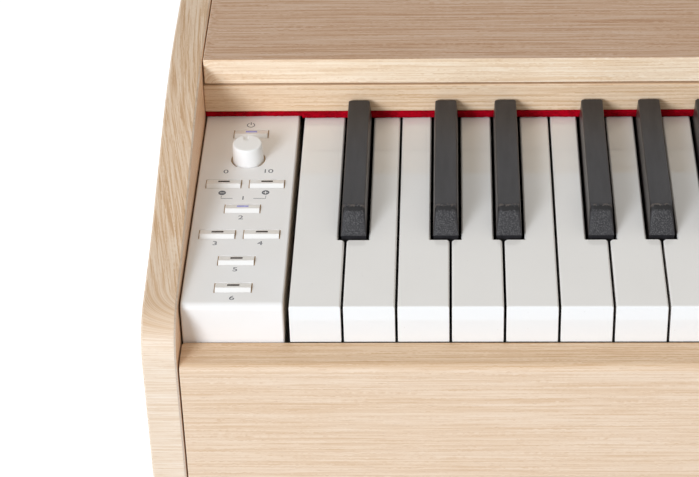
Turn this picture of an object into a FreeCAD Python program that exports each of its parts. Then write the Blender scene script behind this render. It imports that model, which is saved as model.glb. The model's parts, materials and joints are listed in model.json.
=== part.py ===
import FreeCAD
import Part
import Sketcher
import math
import os

# Stage piano with 88 keys in a light oak slab case.
# Millimetres. X runs right along the keys, Y to the back, Z up.
# The origin is at the middle of the footprint, on the surface that the feet stand on.

doc = FreeCAD.newDocument("stage_piano")
sheet = doc.addObject("Spreadsheet::Sheet", "sizes")

DRIVING_SIZES = [
    # Keyboard
    ("white_pitch", 23.5),
    ("key_gap", 1.1),
    ("white_front_height", 19.2),
    ("white_head_length", 49.6),
    ("white_edge", 0.6),
    ("white_corner", 0.9),
    ("key_tail", 12.0),
    ("black_width", 11.4),
    ("black_top_width", 10.2),
    ("black_rise", 11.4),
    ("black_lip_height", 1.3),
    ("black_crown_height", 0.6),
    ("black_crown_inset", 0.6),
    ("black_front_slope", 9.4),
    ("black_rear_slope", 0.8),
    ("black_side_gap", 1.2),
    ("black_front_gap", 1.0),
    ("black_rear_gap", 0.7),
    ("black_arm_drop", 1.2),
    # Pivot of the keys
    ("pivot_setback", 205.0),
    ("pivot_drop", 12.0),
    ("pivot_clearance", 0.3),
    ("ridge_half_width", 6.0),
    ("notch_half_width", 9.0),
    # Case
    ("under_key_height", 100.0),
    ("cheek_thickness", 15.0),
    ("cheek_overhang", 18.5),
    ("cheek_rise", 33.0),
    ("cheek_nose_rise", 0.6),
    ("cheek_dip_setback", 53.7),
    ("cheek_dip_rise", 7.75),
    ("cheek_crest_setback", 158.9),
    ("cheek_nose_radius", 20.0),
    ("cheek_dip_radius", 250.0),
    ("cheek_crest_radius", 315.0),
    ("cheek_edge", 0.8),
    ("board_end_gap", 0.7),
    ("slip_thickness", 16.0),
    ("slip_recess", 1.0),
    ("slip_drop", 19.0),
    ("slip_radius", 3.5),
    ("lid_recess", 0.7),
    ("lid_drop", 0.1),
    ("lid_thickness", 13.3),
    ("fall_thickness", 15.0),
    ("fall_rise", 4.0),
    ("fall_joint", 0.9),
    ("fall_end_gap", 0.1),
    ("felt_recess", 0.1),
    ("felt_depth", 12.0),
    ("felt_clearance", 0.1),
    ("bottom_thickness", 12.0),
    ("back_thickness", 4.0),
    # End blocks
    ("block_width", 44.5),
    ("block_cheek_gap", 0.8),
    ("block_key_gap", 2.0),
    ("block_setback", 0.5),
    ("block_tuck", 16.5),
    ("block_rise", 0.5),
    ("block_wall", 2.5),
    ("block_shoulder", 3.0),
    ("block_edge", 0.5),
    # Buttons and knob
    ("button_row_pitch", 19.8),
    ("button_column_pitch", 20.0),
    ("first_row_setback", 13.4),
    ("knob_row_gap", 20.1),
    ("power_row_gap", 41.4),
    ("power_margin", 14.0),
    ("button_length", 15.8),
    ("button_width", 6.8),
    ("button_end_gap", 0.5),
    ("button_front_gap", 0.3),
    ("button_rear_gap", 0.15),
    ("button_ridge_rise", 1.1),
    ("button_rear_drop", 0.1),
    ("button_front_drop", 0.05),
    ("button_bevel_run", 2.0),
    ("button_flange_width", 1.2),
    ("button_flange_thickness", 1.2),
    ("button_flange_clearance", 0.3),
    ("button_stem", 3.0),
    ("button_travel", 1.0),
    ("lens_length", 5.3),
    ("lens_width", 0.95),
    ("lens_depth", 0.3),
    ("lens_setback", 1.05),
    ("knob_base_radius", 7.35),
    ("knob_top_radius", 6.9),
    ("knob_rise", 9.2),
    ("knob_sink", 1.2),
    ("knob_edge", 0.5),
    ("knob_well_gap", 0.75),
    ("knob_well_lip", 0.5),
    ("knob_floor_gap", 0.4),
    ("knob_bore_depth", 8.0),
    ("pointer_length", 4.0),
    ("pointer_width", 1.5),
    ("pointer_depth", 0.9),
    ("shaft_radius", 3.0),
    ("shaft_clearance", 0.05),
    ("shaft_hole_gap", 0.4),
    # Panel board
    ("panel_board_drop", 12.4),
    ("panel_board_thickness", 1.6),
    ("panel_board_gap", 1.0),
    ("panel_board_reach", 8.0),
    ("boss_width", 4.5),
    ("boss_inset", 5.5),
    ("switch_size", 6.0),
    ("switch_height", 4.2),
    ("switch_clearance", 0.1),
    ("pot_size", 9.8),
    ("pot_height", 6.5),
    ("pot_bush_radius", 4.2),
    ("pot_bore_radius", 3.2),
    ("pot_bush_height", 2.0),
    # Key chassis and contacts
    ("sheet_thickness", 2.0),
    ("chassis_setback", 1.0),
    ("chassis_shelf_drop", 33.7),
    ("ridge_lead", 16.0),
    ("chassis_ridge_shelf_drop", 24.5),
    ("chassis_rise_run", 6.0),
    ("chassis_rear_shelf", 18.0),
    ("chassis_foot", 16.0),
    ("stop_felt_setback", 12.0),
    ("stop_felt_width", 18.0),
    ("stop_felt_thickness", 4.6),
    ("contact_setback", 96.0),
    ("contact_board_width", 44.0),
    ("contact_board_thickness", 1.6),
    ("contact_rubber_width", 20.0),
    ("contact_rubber_base", 1.0),
    ("contact_dome_width", 8.0),
    ("contact_dome_height", 6.5),
    ("contact_end_margin", 3.0),
    # Electronics
    ("main_board_length", 190.0),
    ("main_board_depth", 78.0),
    ("main_board_gap", 1.0),
    ("main_board_thickness", 1.6),
    ("main_board_offset", 330.0),
    ("spacer_radius", 3.0),
    ("spacer_height", 12.0),
    ("spacer_inset", 6.0),
    ("chip_length", 22.0),
    ("chip_width", 11.0),
    ("chip_inset", 38.0),
    ("chip_pitch", 47.5),
    ("chip_setback", 23.4),
    ("chip_height", 2.4),
    ("heat_sink_length", 40.0),
    ("heat_sink_inset", 12.0),
    ("heat_sink_depth", 14.0),
    ("heat_sink_height", 24.0),
    ("jack_bore_radius", 3.2),
    ("jack_bore_depth", 30.0),
    ("jack_body_width", 15.0),
    ("jack_body_depth", 34.0),
    ("jack_bush_radius", 5.0),
    ("jack_pitch", 26.0),
    ("jack_fit_gap", 0.2),
    ("inlet_body_width", 14.0),
    ("inlet_body_depth", 16.0),
    ("inlet_bore_radius", 2.8),
    ("inlet_bore_depth", 10.0),
    ("inlet_pin_radius", 1.0),
    ("inlet_bush_radius", 4.5),
    # Speakers
    ("speaker_radius", 43.0),
    ("speaker_flange_thickness", 2.5),
    ("speaker_cone_radius", 35.0),
    ("speaker_neck_radius", 20.0),
    ("speaker_basket_height", 20.0),
    ("speaker_magnet_radius", 26.0),
    ("speaker_magnet_height", 14.0),
    ("speaker_dust_cap_radius", 11.0),
    ("speaker_wall", 1.5),
    ("speaker_cap_drop", 6.0),
    ("speaker_cone_drop", 3.0),
    ("speaker_offset", 490.0),
    ("speaker_front_gap", 9.5),
    ("speaker_back_margin", 4.0),
    ("sound_slot_width", 5.0),
    ("sound_slot_pitch", 10.0),
    # Feet, screws and stand inserts
    ("foot_height", 7.0),
    ("foot_radius", 15.0),
    ("foot_taper", 2.0),
    ("foot_inset_x", 60.0),
    ("foot_inset_y", 40.0),
    ("screw_shank_radius", 2.0),
    ("screw_head_radius", 4.2),
    ("screw_head_height", 2.4),
    ("screw_clearance", 0.1),
    ("screw_end_margin", 40.0),
    ("insert_radius", 5.0),
    ("insert_bore_radius", 3.0),
    ("insert_spacing_x", 1160.0),
    ("insert_spacing_y", 130.0),
    ("insert_setback", 100.0),
    ("cut_overrun", 1.0),
]


class Size:
    """A length that carries its value and the spreadsheet formula that gives it."""

    def __init__(self, value, formula):
        self.value = value
        self.formula = formula

    def combined(self, other, sign, value):
        text = other.formula if isinstance(other, Size) else repr(other)
        return Size(value, "(" + self.formula + " " + sign + " " + text + ")")

    def __add__(self, other):
        return self.combined(other, "+", self.value + plain(other))

    def __sub__(self, other):
        return self.combined(other, "-", self.value - plain(other))

    def __mul__(self, other):
        return self.combined(other, "*", self.value * plain(other))

    def __truediv__(self, other):
        return self.combined(other, "/", self.value / plain(other))

    def __neg__(self):
        return Size(-self.value, "(0 - " + self.formula + ")")


def plain(length):
    return length.value if isinstance(length, Size) else length


class Sizes:
    pass


def read_sheet():
    sizes = Sizes()
    for row, (alias, value) in enumerate(DRIVING_SIZES, start=1):
        cell = "B%d" % row
        sheet.set("A%d" % row, alias)
        sheet.set(cell, str(value))
        sheet.setAlias(cell, alias)
    doc.recompute()
    for alias, value in DRIVING_SIZES:
        setattr(sizes, alias, Size(float(sheet.get(alias)), "sizes." + alias))
    return sizes


s = read_sheet()
zero = Size(0.0, "0")

# Two points closer than this are the same point.
SAME_POINT = 1e-4
WHITE_KEYS = 52
WHITE_NOTES = "cdefgab"
BLACK_AFTER = {"c": "cs", "d": "ds", "f": "fs", "g": "gs", "a": "as"}
# How far each black key stands from the gap below it, as a share of the white pitch.
BLACK_SHIFT_SHARES = {"cs": -0.09, "ds": 0.11, "fs": -0.145, "gs": 0.0, "as": 0.153}

# Planes of the case that the pieces share
keyboard_width = s.white_pitch * WHITE_KEYS
keys_left = -keyboard_width / 2
end_width = s.block_cheek_gap + s.block_width + s.block_key_gap
cheek_inside = keyboard_width / 2 + end_width
key_length = s.pivot_setback + s.key_tail
rear_bay = s.speaker_front_gap + s.speaker_radius * 2 + s.speaker_back_margin
case_depth = s.cheek_overhang + s.pivot_setback + s.chassis_rear_shelf + rear_bay + s.back_thickness
case_front = -case_depth / 2
case_back = case_depth / 2
key_front = case_front + s.cheek_overhang
case_bottom = s.foot_height
key_top = s.foot_height + s.under_key_height
floor_top = case_bottom + s.bottom_thickness
board_half = cheek_inside - s.board_end_gap
back_inside = case_back - s.back_thickness
slip_back = case_front + s.slip_recess + s.slip_thickness
white_width = s.white_pitch - s.key_gap
notch_width = s.black_width + s.black_side_gap * 2
minus_row = s.first_row_setback + s.button_row_pitch * 4
fall_setback = minus_row + s.power_row_gap + s.power_margin
lid_setback = fall_setback + s.lid_recess
block_length = fall_setback + s.block_tuck - s.block_setback
parts = {}


def bind(thing, **lengths):
    """Set properties of a document object and tie each one to the spreadsheet."""
    for name, length in lengths.items():
        setattr(thing, name, length.value)
        thing.setExpression(name, length.formula)


def place(thing, x, y, z):
    thing.Placement = FreeCAD.Placement(FreeCAD.Vector(x.value, y.value, z.value), thing.Placement.Rotation)
    thing.setExpression("Placement.Base.x", x.formula)
    thing.setExpression("Placement.Base.y", y.formula)
    thing.setExpression("Placement.Base.z", z.formula)


def box(name, low, high):
    """A block between two opposite corners."""
    solid = doc.addObject("Part::Box", name)
    bind(solid, Length=high[0] - low[0], Width=high[1] - low[1], Height=high[2] - low[2])
    place(solid, *low)
    return solid


def cylinder(name, base, radius, length, along="z"):
    """A cylinder that starts at base and runs up, or to the back."""
    solid = doc.addObject("Part::Cylinder", name)
    bind(solid, Radius=radius, Height=length)
    if along == "y":
        solid.Placement.Rotation = FreeCAD.Rotation(FreeCAD.Vector(1, 0, 0), -90)
    place(solid, *base)
    return solid


def prism(name, base, radius, length, sides, along="z"):
    """A many-sided post or hole that starts at base and runs up, or to the back."""
    solid = doc.addObject("Part::Prism", name)
    solid.Polygon = sides
    bind(solid, Circumradius=radius, Height=length)
    if along == "y":
        solid.Placement.Rotation = FreeCAD.Rotation(FreeCAD.Vector(1, 0, 0), -90)
    place(solid, *base)
    return solid


def faceted_turn(profile, sides):
    """A closed solid turned about the Z axis in flat facets, from a profile that ends on the axis."""
    turns = [2 * math.pi * step / sides for step in range(sides)]
    rings = []
    for radius, height in profile:
        rings.append([
            FreeCAD.Vector(radius.value * math.cos(turn), radius.value * math.sin(turn), height.value)
            for turn in turns
        ])
    faces = []
    for lower, upper in zip(rings, rings[1:]):
        for step in range(sides):
            after = (step + 1) % sides
            corners = [lower[step], lower[after], upper[after], upper[step]]
            kept = [
                corner for number, corner in enumerate(corners)
                if (corner - corners[number - 1]).Length > SAME_POINT
            ]
            if len(kept) > 2:
                faces.append(Part.Face(Part.makePolygon(kept + kept[:1])))
    return Part.Solid(Part.Shell(faces)).removeSplitter()


def fused(name, shapes):
    result = doc.addObject("Part::MultiFuse", name)
    result.Shapes = shapes
    return result


def cut(name, base, tools):
    result = doc.addObject("Part::Cut", name)
    result.Base = base
    result.Tool = tools[0] if len(tools) == 1 else fused(name + "_tools", tools)
    return result


def group(name, shapes):
    result = doc.addObject("Part::Compound", name)
    result.Links = shapes
    return result


def keep(label, thing):
    thing.Label = label
    parts[label] = thing
    return thing


def new_body(name):
    return doc.addObject("PartDesign::Body", name)


def sketch_outline(body, name, role, corners, offset=None):
    """A sketch of closed straight outlines on one of the body's planes, tied to the spreadsheet."""
    sketch = body.newObject("Sketcher::SketchObject", name)
    plane = [feature for feature in body.Origin.OriginFeatures if feature.Role == role][0]
    sketch.AttachmentSupport = [(plane, "")]
    sketch.MapMode = "FlatFace"
    if offset is not None:
        sketch.AttachmentOffset = FreeCAD.Placement(FreeCAD.Vector(0, 0, offset.value), FreeCAD.Rotation())
        sketch.setExpression("AttachmentOffset.Base.z", offset.formula)
    outlines = corners if isinstance(corners[0], list) else [corners]
    for outline in outlines:
        add_outline(sketch, outline)
    return sketch


def add_outline(sketch, outline):
    points = [FreeCAD.Vector(plain(across), plain(up), 0) for across, up in outline]
    first = sketch.GeometryCount
    count = len(points)
    for index in range(count):
        sketch.addGeometry(Part.LineSegment(points[index], points[(index + 1) % count]), False)
    for index in range(count):
        following = first + (index + 1) % count
        sketch.addConstraint(Sketcher.Constraint("Coincident", first + index, 2, following, 1))
    for index, (across, up) in enumerate(outline):
        tie_point(sketch, "DistanceX", first + index, across, -2)
        tie_point(sketch, "DistanceY", first + index, up, -1)


def tie_point(sketch, direction, line, length, axis):
    """Hold the start of a line at a distance from the origin, or on the axis where that is zero."""
    if abs(length.value) < SAME_POINT:
        sketch.addConstraint(Sketcher.Constraint("PointOnObject", line, 1, axis))
        return
    number = sketch.addConstraint(Sketcher.Constraint(direction, -1, 1, line, 1, length.value))
    sketch.setExpression("Constraints[%d]" % number, length.formula)


def rectangle(left, right, low, high):
    return [(left, low), (right, low), (right, high), (left, high)]


def ring(across, up, radius, sides):
    """A closed outline of equal straight sides round a point."""
    turn = [2 * math.pi * (step + 0.5) / sides for step in range(sides)]
    return [(across + radius * math.cos(angle), up + radius * math.sin(angle)) for angle in turn]


def pad(body, sketch, name, length, reverse=False, midplane=False):
    feature = body.newObject("PartDesign::Pad", name)
    feature.Profile = sketch
    bind(feature, Length=length)
    feature.Reversed = reverse
    feature.Midplane = midplane
    return feature


def pocket(body, sketch, name, length, reverse=False):
    """Cut the sketch into the body, and check that it removed something."""
    doc.recompute()
    before = body.Shape.Volume
    feature = body.newObject("PartDesign::Pocket", name)
    feature.Profile = sketch
    bind(feature, Length=length)
    feature.Reversed = reverse
    doc.recompute()
    if body.Shape.Volume >= before:
        raise RuntimeError(name + " cuts nothing")
    return feature


def face_towards(shape, direction):
    """The number of the face that lies furthest along a direction."""
    reach = [face.CenterOfMass.dot(direction) for face in shape.Faces]
    return reach.index(max(reach)) + 1


def edges_at(shape, test):
    return ["Edge%d" % number for number, edge in enumerate(shape.Edges, start=1) if test(edge)]


def lengthwise_edge_at(shape, y, z):
    """Edges that run along X through a point of the side view."""
    def runs_there(edge):
        return all(abs(v.Point.y - y) < SAME_POINT and abs(v.Point.z - z) < SAME_POINT for v in edge.Vertexes)
    return edges_at(shape, runs_there)


def fillet(body, base, name, edges, radius):
    feature = body.newObject("PartDesign::Fillet", name)
    feature.Base = (base, edges)
    bind(feature, Radius=radius)
    return feature


def chamfer(body, base, name, edges, size):
    feature = body.newObject("PartDesign::Chamfer", name)
    feature.Base = (base, edges)
    bind(feature, Size=size)
    return feature


# White keys

def pivot_notch(body, name, front, left, width):
    """The open vee under a key that sits over the ridge of the chassis."""
    pivot = s.pivot_setback - front
    bottom = -s.white_front_height - s.cut_overrun
    vee = [
        (pivot - s.notch_half_width, bottom),
        (pivot + s.notch_half_width, bottom),
        (pivot, -s.pivot_drop),
    ]
    sketch = sketch_outline(body, name + "_vee", "YZ_Plane", vee, offset=left - s.cut_overrun)
    return pocket(body, sketch, name + "_notch", width + s.cut_overrun * 2, reverse=True)


def black_centre(index, note):
    """Where the black key after white key number index stands, from the left end of the keyboard."""
    return s.white_pitch * (index + 1 + BLACK_SHIFT_SHARES[BLACK_AFTER[note]])


def white_key(label, index, left_note, right_note):
    """A white key, notched for the black key on its left, its right, both or neither."""
    left = s.white_pitch * index + s.key_gap / 2
    tail_left = zero
    tail_right = white_width
    if left_note:
        tail_left = black_centre(index - 1, left_note) + notch_width / 2 - left
    if right_note:
        tail_right = black_centre(index, right_note) - notch_width / 2 - left
    shoulder = s.white_head_length - s.white_corner
    outline = [(zero, zero), (white_width, zero)]
    if right_note:
        outline += [
            (white_width, shoulder),
            (white_width - s.white_corner, s.white_head_length),
            (tail_right, s.white_head_length),
        ]
    outline += [(tail_right, key_length), (tail_left, key_length)]
    if left_note:
        outline += [
            (tail_left, s.white_head_length),
            (s.white_corner, s.white_head_length),
            (zero, shoulder),
        ]
    body = new_body(label)
    plan = sketch_outline(body, label + "_plan", "XY_Plane", outline)
    block = pad(body, plan, label + "_block", s.white_front_height, reverse=True)
    doc.recompute()
    top = face_towards(block.Shape, FreeCAD.Vector(0, 0, 1))
    chamfer(body, block, label + "_edge", ["Face%d" % top], s.white_edge)
    pivot_notch(body, label, zero, zero, white_width)
    place(body, keys_left + left, key_front, key_top)
    return keep(label, body)


# Black keys

def wedge(body, name, low, high):
    """A block with a flat rectangle at each end. Each end is its half width, front, rear and height."""
    block = body.newObject("PartDesign::AdditiveWedge", name)
    block.Placement = FreeCAD.Placement(FreeCAD.Vector(), FreeCAD.Rotation(FreeCAD.Vector(1, 0, 0), 90))
    bind(block, Xmin=-low[0], Xmax=low[0], Zmin=-low[2], Zmax=-low[1], Ymin=low[3],
         X2min=-high[0], X2max=high[0], Z2min=-high[2], Z2max=-high[1], Ymax=high[3])
    return block


def black_key(label, index, note):
    """A black key: a tapered cap with a sloping nose on an arm that runs back under the fallboard."""
    front = s.white_head_length + s.black_front_gap
    rear = fall_setback - s.black_rear_gap - front
    half = s.black_width / 2
    crown_half = s.black_top_width / 2
    top_half = crown_half - s.black_crown_inset
    crown_z = s.black_rise - s.black_crown_height
    slope_share = (crown_z - s.black_lip_height).value / (s.black_rise - s.black_lip_height).value
    crown_front = s.black_front_slope * slope_share
    crown_rear = rear - s.black_rear_slope * slope_share
    top_front = s.black_front_slope + s.black_crown_inset
    top_rear = rear - s.black_rear_slope - s.black_crown_inset
    body = new_body(label)
    arm = sketch_outline(body, label + "_arm", "XY_Plane", rectangle(-half, half, zero, key_length - front),
                         offset=-s.black_arm_drop)
    pad(body, arm, label + "_arm_block", s.white_front_height - s.black_arm_drop, reverse=True)
    lip = sketch_outline(body, label + "_lip", "XY_Plane", rectangle(-half, half, zero, rear),
                         offset=-s.black_arm_drop)
    pad(body, lip, label + "_lip_block", s.black_arm_drop + s.black_lip_height)
    base_end = (half, zero, rear, s.black_lip_height)
    crown_end = (crown_half, crown_front, crown_rear, crown_z)
    wedge(body, label + "_cap", base_end, crown_end)
    wedge(body, label + "_crown", crown_end, (top_half, top_front, top_rear, s.black_rise))
    pivot_notch(body, label, front, -half, s.black_width)
    centre = black_centre(index, note)
    place(body, keys_left + centre, key_front + front, key_top)
    return keep(label, body)


def note_at(index):
    """The letter of a white key, counted from the left end, which is an A."""
    return WHITE_NOTES[(index + 5) % 7]


def octave_at(index):
    return (index + 5) // 7


def make_keys():
    """The lowest fifteen keys one by one, then each octave above as two sets."""
    for index in range(9):
        note = note_at(index)
        left_note = note_at(index - 1) if index > 0 and note_at(index - 1) in BLACK_AFTER else ""
        right_note = note if note in BLACK_AFTER else ""
        white_key("key_%s%d" % (note, octave_at(index)), index, left_note, right_note)
        if right_note:
            black_key("key_%s%d" % (BLACK_AFTER[note], octave_at(index)), index, note)
    doc.recompute()
    for octave in range(2, 8):
        shift = s.white_pitch * (7 * (octave - 1))
        whites = [parts["key_%s1" % note] for note in WHITE_NOTES]
        blacks = [parts["key_%s1" % BLACK_AFTER[note]] for note in BLACK_AFTER]
        key_set("white_keys_octave_%d" % octave, whites, shift, top_key=octave == 7)
        key_set("black_keys_octave_%d" % octave, blacks, shift)


def key_set(label, keys, shift, top_key=False):
    """The keys of the lowest whole octave, repeated further up the keyboard."""
    shapes = [key.Shape.copy() for key in keys]
    if top_key:
        shapes.append(top_c_shape())
    feature = doc.addObject("Part::Feature", label)
    feature.Shape = Part.makeCompound(shapes)
    feature.Placement = FreeCAD.Placement(FreeCAD.Vector(shift.value, 0, 0), FreeCAD.Rotation())
    feature.setExpression("Placement.Base.x", shift.formula)
    keep(label, feature)


def top_c_shape():
    """The last key has no black neighbour: it is the widest, with no notch."""
    key = white_key("key_c8_form", 9, "", "")
    doc.recompute()
    del parts["key_c8_form"]
    return key.Shape.copy()


make_keys()


# Oak boards of the case

def side_panel(label, left):
    """A cheek: its arm falls from the top board to a rounded nose beside the keys."""
    body = new_body(label)
    crest_y = case_front + s.cheek_crest_setback
    dip_y = case_front + s.cheek_dip_setback
    top = key_top + s.cheek_rise
    dip = key_top + s.cheek_dip_rise
    nose = key_top + s.cheek_nose_rise
    outline = [
        (case_front, case_bottom),
        (case_back, case_bottom),
        (case_back, top),
        (crest_y, top),
        (dip_y, dip),
        (case_front, nose),
    ]
    profile = sketch_outline(body, label + "_profile", "YZ_Plane", outline)
    last = pad(body, profile, label + "_slab", s.cheek_thickness)
    corners = [
        ("crest", crest_y, top, s.cheek_crest_radius),
        ("dip", dip_y, dip, s.cheek_dip_radius),
        ("nose", case_front, nose, s.cheek_nose_radius),
    ]
    for name, y, z, radius in corners:
        doc.recompute()
        edges = lengthwise_edge_at(last.Shape, y.value, z.value)
        last = fillet(body, last, label + "_" + name, edges, radius)
    doc.recompute()
    sides = [face_towards(last.Shape, FreeCAD.Vector(direction, 0, 0)) for direction in (1, -1)]
    chamfer(body, last, label + "_edges", ["Face%d" % number for number in sides], s.cheek_edge)
    place(body, left, zero, zero)
    return keep(label, body)


def key_slip():
    """The front board below the keys, with a rounded top edge."""
    body = new_body("key_slip")
    front = case_front + s.slip_recess
    top = key_top - s.slip_drop
    profile = sketch_outline(body, "slip_profile", "YZ_Plane", rectangle(front, slip_back, case_bottom, top))
    slab = pad(body, profile, "slip_slab", board_half * 2)
    doc.recompute()
    fillet(body, slab, "slip_round", lengthwise_edge_at(slab.Shape, front.value, top.value), s.slip_radius)
    place(body, -board_half, zero, zero)
    return keep("key_slip", body)


def board(label, half, y_low, y_high, z_low, z_high):
    return keep(label, box(label, (-half, y_low, z_low), (half, y_high, z_high)))


lid_top = key_top + s.cheek_rise - s.lid_drop
lid_bottom = lid_top - s.lid_thickness
fall_half = cheek_inside - s.fall_end_gap
fall_front = key_front + fall_setback
fall_bottom = key_top + s.fall_rise
side_panel("side_panel_left", -cheek_inside - s.cheek_thickness)
side_panel("side_panel_right", cheek_inside)
key_slip()
board("top_board", board_half, key_front + lid_setback, case_back, lid_bottom, lid_top)
board("fallboard", fall_half, fall_front, fall_front + s.fall_thickness, fall_bottom,
      lid_bottom - s.fall_joint)
board("felt_strip", fall_half, fall_front + s.felt_recess, fall_front + s.felt_recess + s.felt_depth,
      key_top + s.block_rise + s.felt_clearance, fall_bottom)


# Positions that the boards, screws and sockets share

chassis_front = key_front + s.chassis_setback
chassis_rear = key_front + s.pivot_setback + s.chassis_rear_shelf
SHANK_SIDES = 8
NOSE_SIDES = 12
screw_hole_radius = s.screw_shank_radius + s.screw_clearance
screw_rows = [chassis_front + s.chassis_foot / 2, chassis_rear - s.chassis_foot / 2]
screw_reach = keyboard_width / 2 - s.screw_end_margin
screw_spots = [(screw_reach * share, row) for row in screw_rows for share in (-1.0, -0.5, 0.0, 0.5, 1.0)]
insert_front = case_front + s.insert_setback
insert_spots = [
    (s.insert_spacing_x * side / 2, insert_front + s.insert_spacing_y * step)
    for side in (-1, 1) for step in (0, 1)
]
speaker_y = back_inside - s.speaker_back_margin - s.speaker_radius
speaker_spots = [("left", -s.speaker_offset), ("right", s.speaker_offset)]
board_top = floor_top + s.spacer_height + s.main_board_thickness
jack_axis_z = board_top + s.jack_body_width / 2
jack_spots = [s.jack_pitch * step - s.main_board_offset for step in (-1, 0, 1)]
inlet_x = s.jack_pitch * 2 - s.main_board_offset
inlet_axis_z = board_top + s.inlet_body_width / 2


def holes(name, spots, radius, z_low, z_high, sides):
    """Posts that cut holes through a board."""
    length = z_high - z_low + s.cut_overrun * 2
    return [
        prism("%s_%d" % (name, number), (x, y, z_low - s.cut_overrun), radius, length, sides)
        for number, (x, y) in enumerate(spots)
    ]


def sound_slots(side, centre):
    """Slots in the bottom board inside the speaker's cone, each as long as the circle lets it be."""
    count = int((s.speaker_cone_radius.value * 2 - s.sound_slot_width.value) / s.sound_slot_pitch.value)
    slots = []
    for number in range(count):
        across = s.sound_slot_pitch * (number - (count - 1) / 2)
        share = (abs(across.value) + s.sound_slot_width.value / 2) / s.speaker_cone_radius.value
        half = s.speaker_cone_radius * math.sqrt(1 - share * share)
        low = (centre + across - s.sound_slot_width / 2, speaker_y - half, case_bottom - s.cut_overrun)
        high = (centre + across + s.sound_slot_width / 2, speaker_y + half, floor_top + s.cut_overrun)
        slots.append(box("sound_slot_%s_%d" % (side, number), low, high))
    return slots


def bottom_board():
    slab = box("bottom_slab", (-board_half, slip_back, case_bottom), (board_half, back_inside, floor_top))
    tools = holes("screw_hole", screw_spots, screw_hole_radius, case_bottom, floor_top, SHANK_SIDES)
    insert_hole_radius = s.insert_radius + s.screw_clearance
    tools += holes("insert_hole", insert_spots, insert_hole_radius, case_bottom, floor_top, NOSE_SIDES)
    for side, centre in speaker_spots:
        tools += sound_slots(side, centre)
    return keep("bottom_board", cut("bottom_board", slab, tools))


def back_panel():
    """A hardboard back with a round hole for the nose of each socket."""
    slab = box("back_slab", (-board_half, back_inside, case_bottom), (board_half, case_back, lid_bottom))
    start = back_inside - s.cut_overrun
    depth = s.back_thickness + s.cut_overrun * 2
    tools = [
        prism("jack_hole_%d" % number, (x, start, jack_axis_z), s.jack_bush_radius + s.jack_fit_gap, depth,
              NOSE_SIDES, "y")
        for number, x in enumerate(jack_spots)
    ]
    tools.append(prism("inlet_hole", (inlet_x, start, inlet_axis_z),
                       s.inlet_bush_radius + s.jack_fit_gap, depth, NOSE_SIDES, "y"))
    return keep("back_panel", cut("back_panel", slab, tools))


bottom_board()
back_panel()


# End blocks: the control panel on the left and its blank twin on the right

block_top = key_top + s.block_rise
block_height = s.block_rise + s.chassis_shelf_drop
block_middle = s.block_width / 2
well_half_length = s.button_length / 2 + s.button_end_gap
BUTTONS = [
    ("function_button", 0, s.first_row_setback),
    ("beat_button", 0, s.first_row_setback + s.button_row_pitch),
    ("record_button", -1, s.first_row_setback + s.button_row_pitch * 2),
    ("play_button", 1, s.first_row_setback + s.button_row_pitch * 2),
    ("voice_button", 0, s.first_row_setback + s.button_row_pitch * 3),
    ("minus_button", -1, minus_row),
    ("plus_button", 1, minus_row),
    ("power_button", 0, minus_row + s.power_row_gap),
]
knob_row = minus_row + s.knob_row_gap
block_left = -cheek_inside + s.block_cheek_gap


WELL_SIDES = 40
SHAFT_SIDES = 18
FRONT_TURN = 270.0
LIP_HALF_TURN = 36.0


def button_x(column):
    return block_middle + s.button_column_pitch * column / 2


def end_block(label, left, with_controls):
    """A moulded cover, open below, that stands on the chassis shelf."""
    body = new_body(label)
    profile = sketch_outline(body, label + "_side", "YZ_Plane",
                             rectangle(zero, block_length, -block_height, zero))
    last = pad(body, profile, label + "_block", s.block_width)
    doc.recompute()
    last = fillet(body, last, label + "_shoulder", lengthwise_edge_at(last.Shape, 0, 0), s.block_shoulder)
    doc.recompute()

    def top_side_edge(edge):
        on_top = all(abs(v.Point.z) < SAME_POINT for v in edge.Vertexes)
        return on_top and edge.Length > s.block_width.value * 2
    last = chamfer(body, last, label + "_long_edges", edges_at(last.Shape, top_side_edge), s.block_edge)
    inner = rectangle(s.block_wall, s.block_width - s.block_wall, s.block_wall, block_length - s.block_wall)
    hollow = sketch_outline(body, label + "_hollow", "XY_Plane", inner, offset=-block_height)
    pocket(body, hollow, label + "_inside", block_height - s.block_wall, reverse=True)
    if with_controls:
        control_wells(body)
        panel_bosses(body)
    place(body, left, key_front + s.block_setback, block_top)
    return keep(label, body)


def control_wells(body):
    wells = []
    for name, column, row in BUTTONS:
        x = button_x(column)
        y = row - s.block_setback
        front = y - s.button_width / 2 - s.button_front_gap
        rear = y + s.button_width / 2 + s.button_rear_gap
        wells.append(rectangle(x - well_half_length, x + well_half_length, front, rear))
    y = knob_row - s.block_setback
    wells.append(ring(block_middle, y, s.shaft_radius + s.shaft_hole_gap, SHAFT_SIDES))
    sketch = sketch_outline(body, "wells", "XY_Plane", wells)
    pocket(body, sketch, "well_holes", s.block_wall + s.cut_overrun)
    dish = sketch_outline(body, "knob_dish", "XY_Plane", knob_dish_outline(block_middle, y))
    pocket(body, dish, "knob_dish_floor", s.knob_sink + s.knob_floor_gap)


def knob_dish_outline(across, up):
    """A round dish for the knob that steps in towards it along the front."""
    outline = []
    for step in range(WELL_SIDES):
        turn = 360.0 * (step + 0.5) / WELL_SIDES
        radius = s.knob_base_radius + s.knob_well_gap
        if abs(turn - FRONT_TURN) < LIP_HALF_TURN:
            radius = radius - s.knob_well_lip
        outline.append((across + radius * math.cos(math.radians(turn)),
                        up + radius * math.sin(math.radians(turn))))
    return outline


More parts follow.
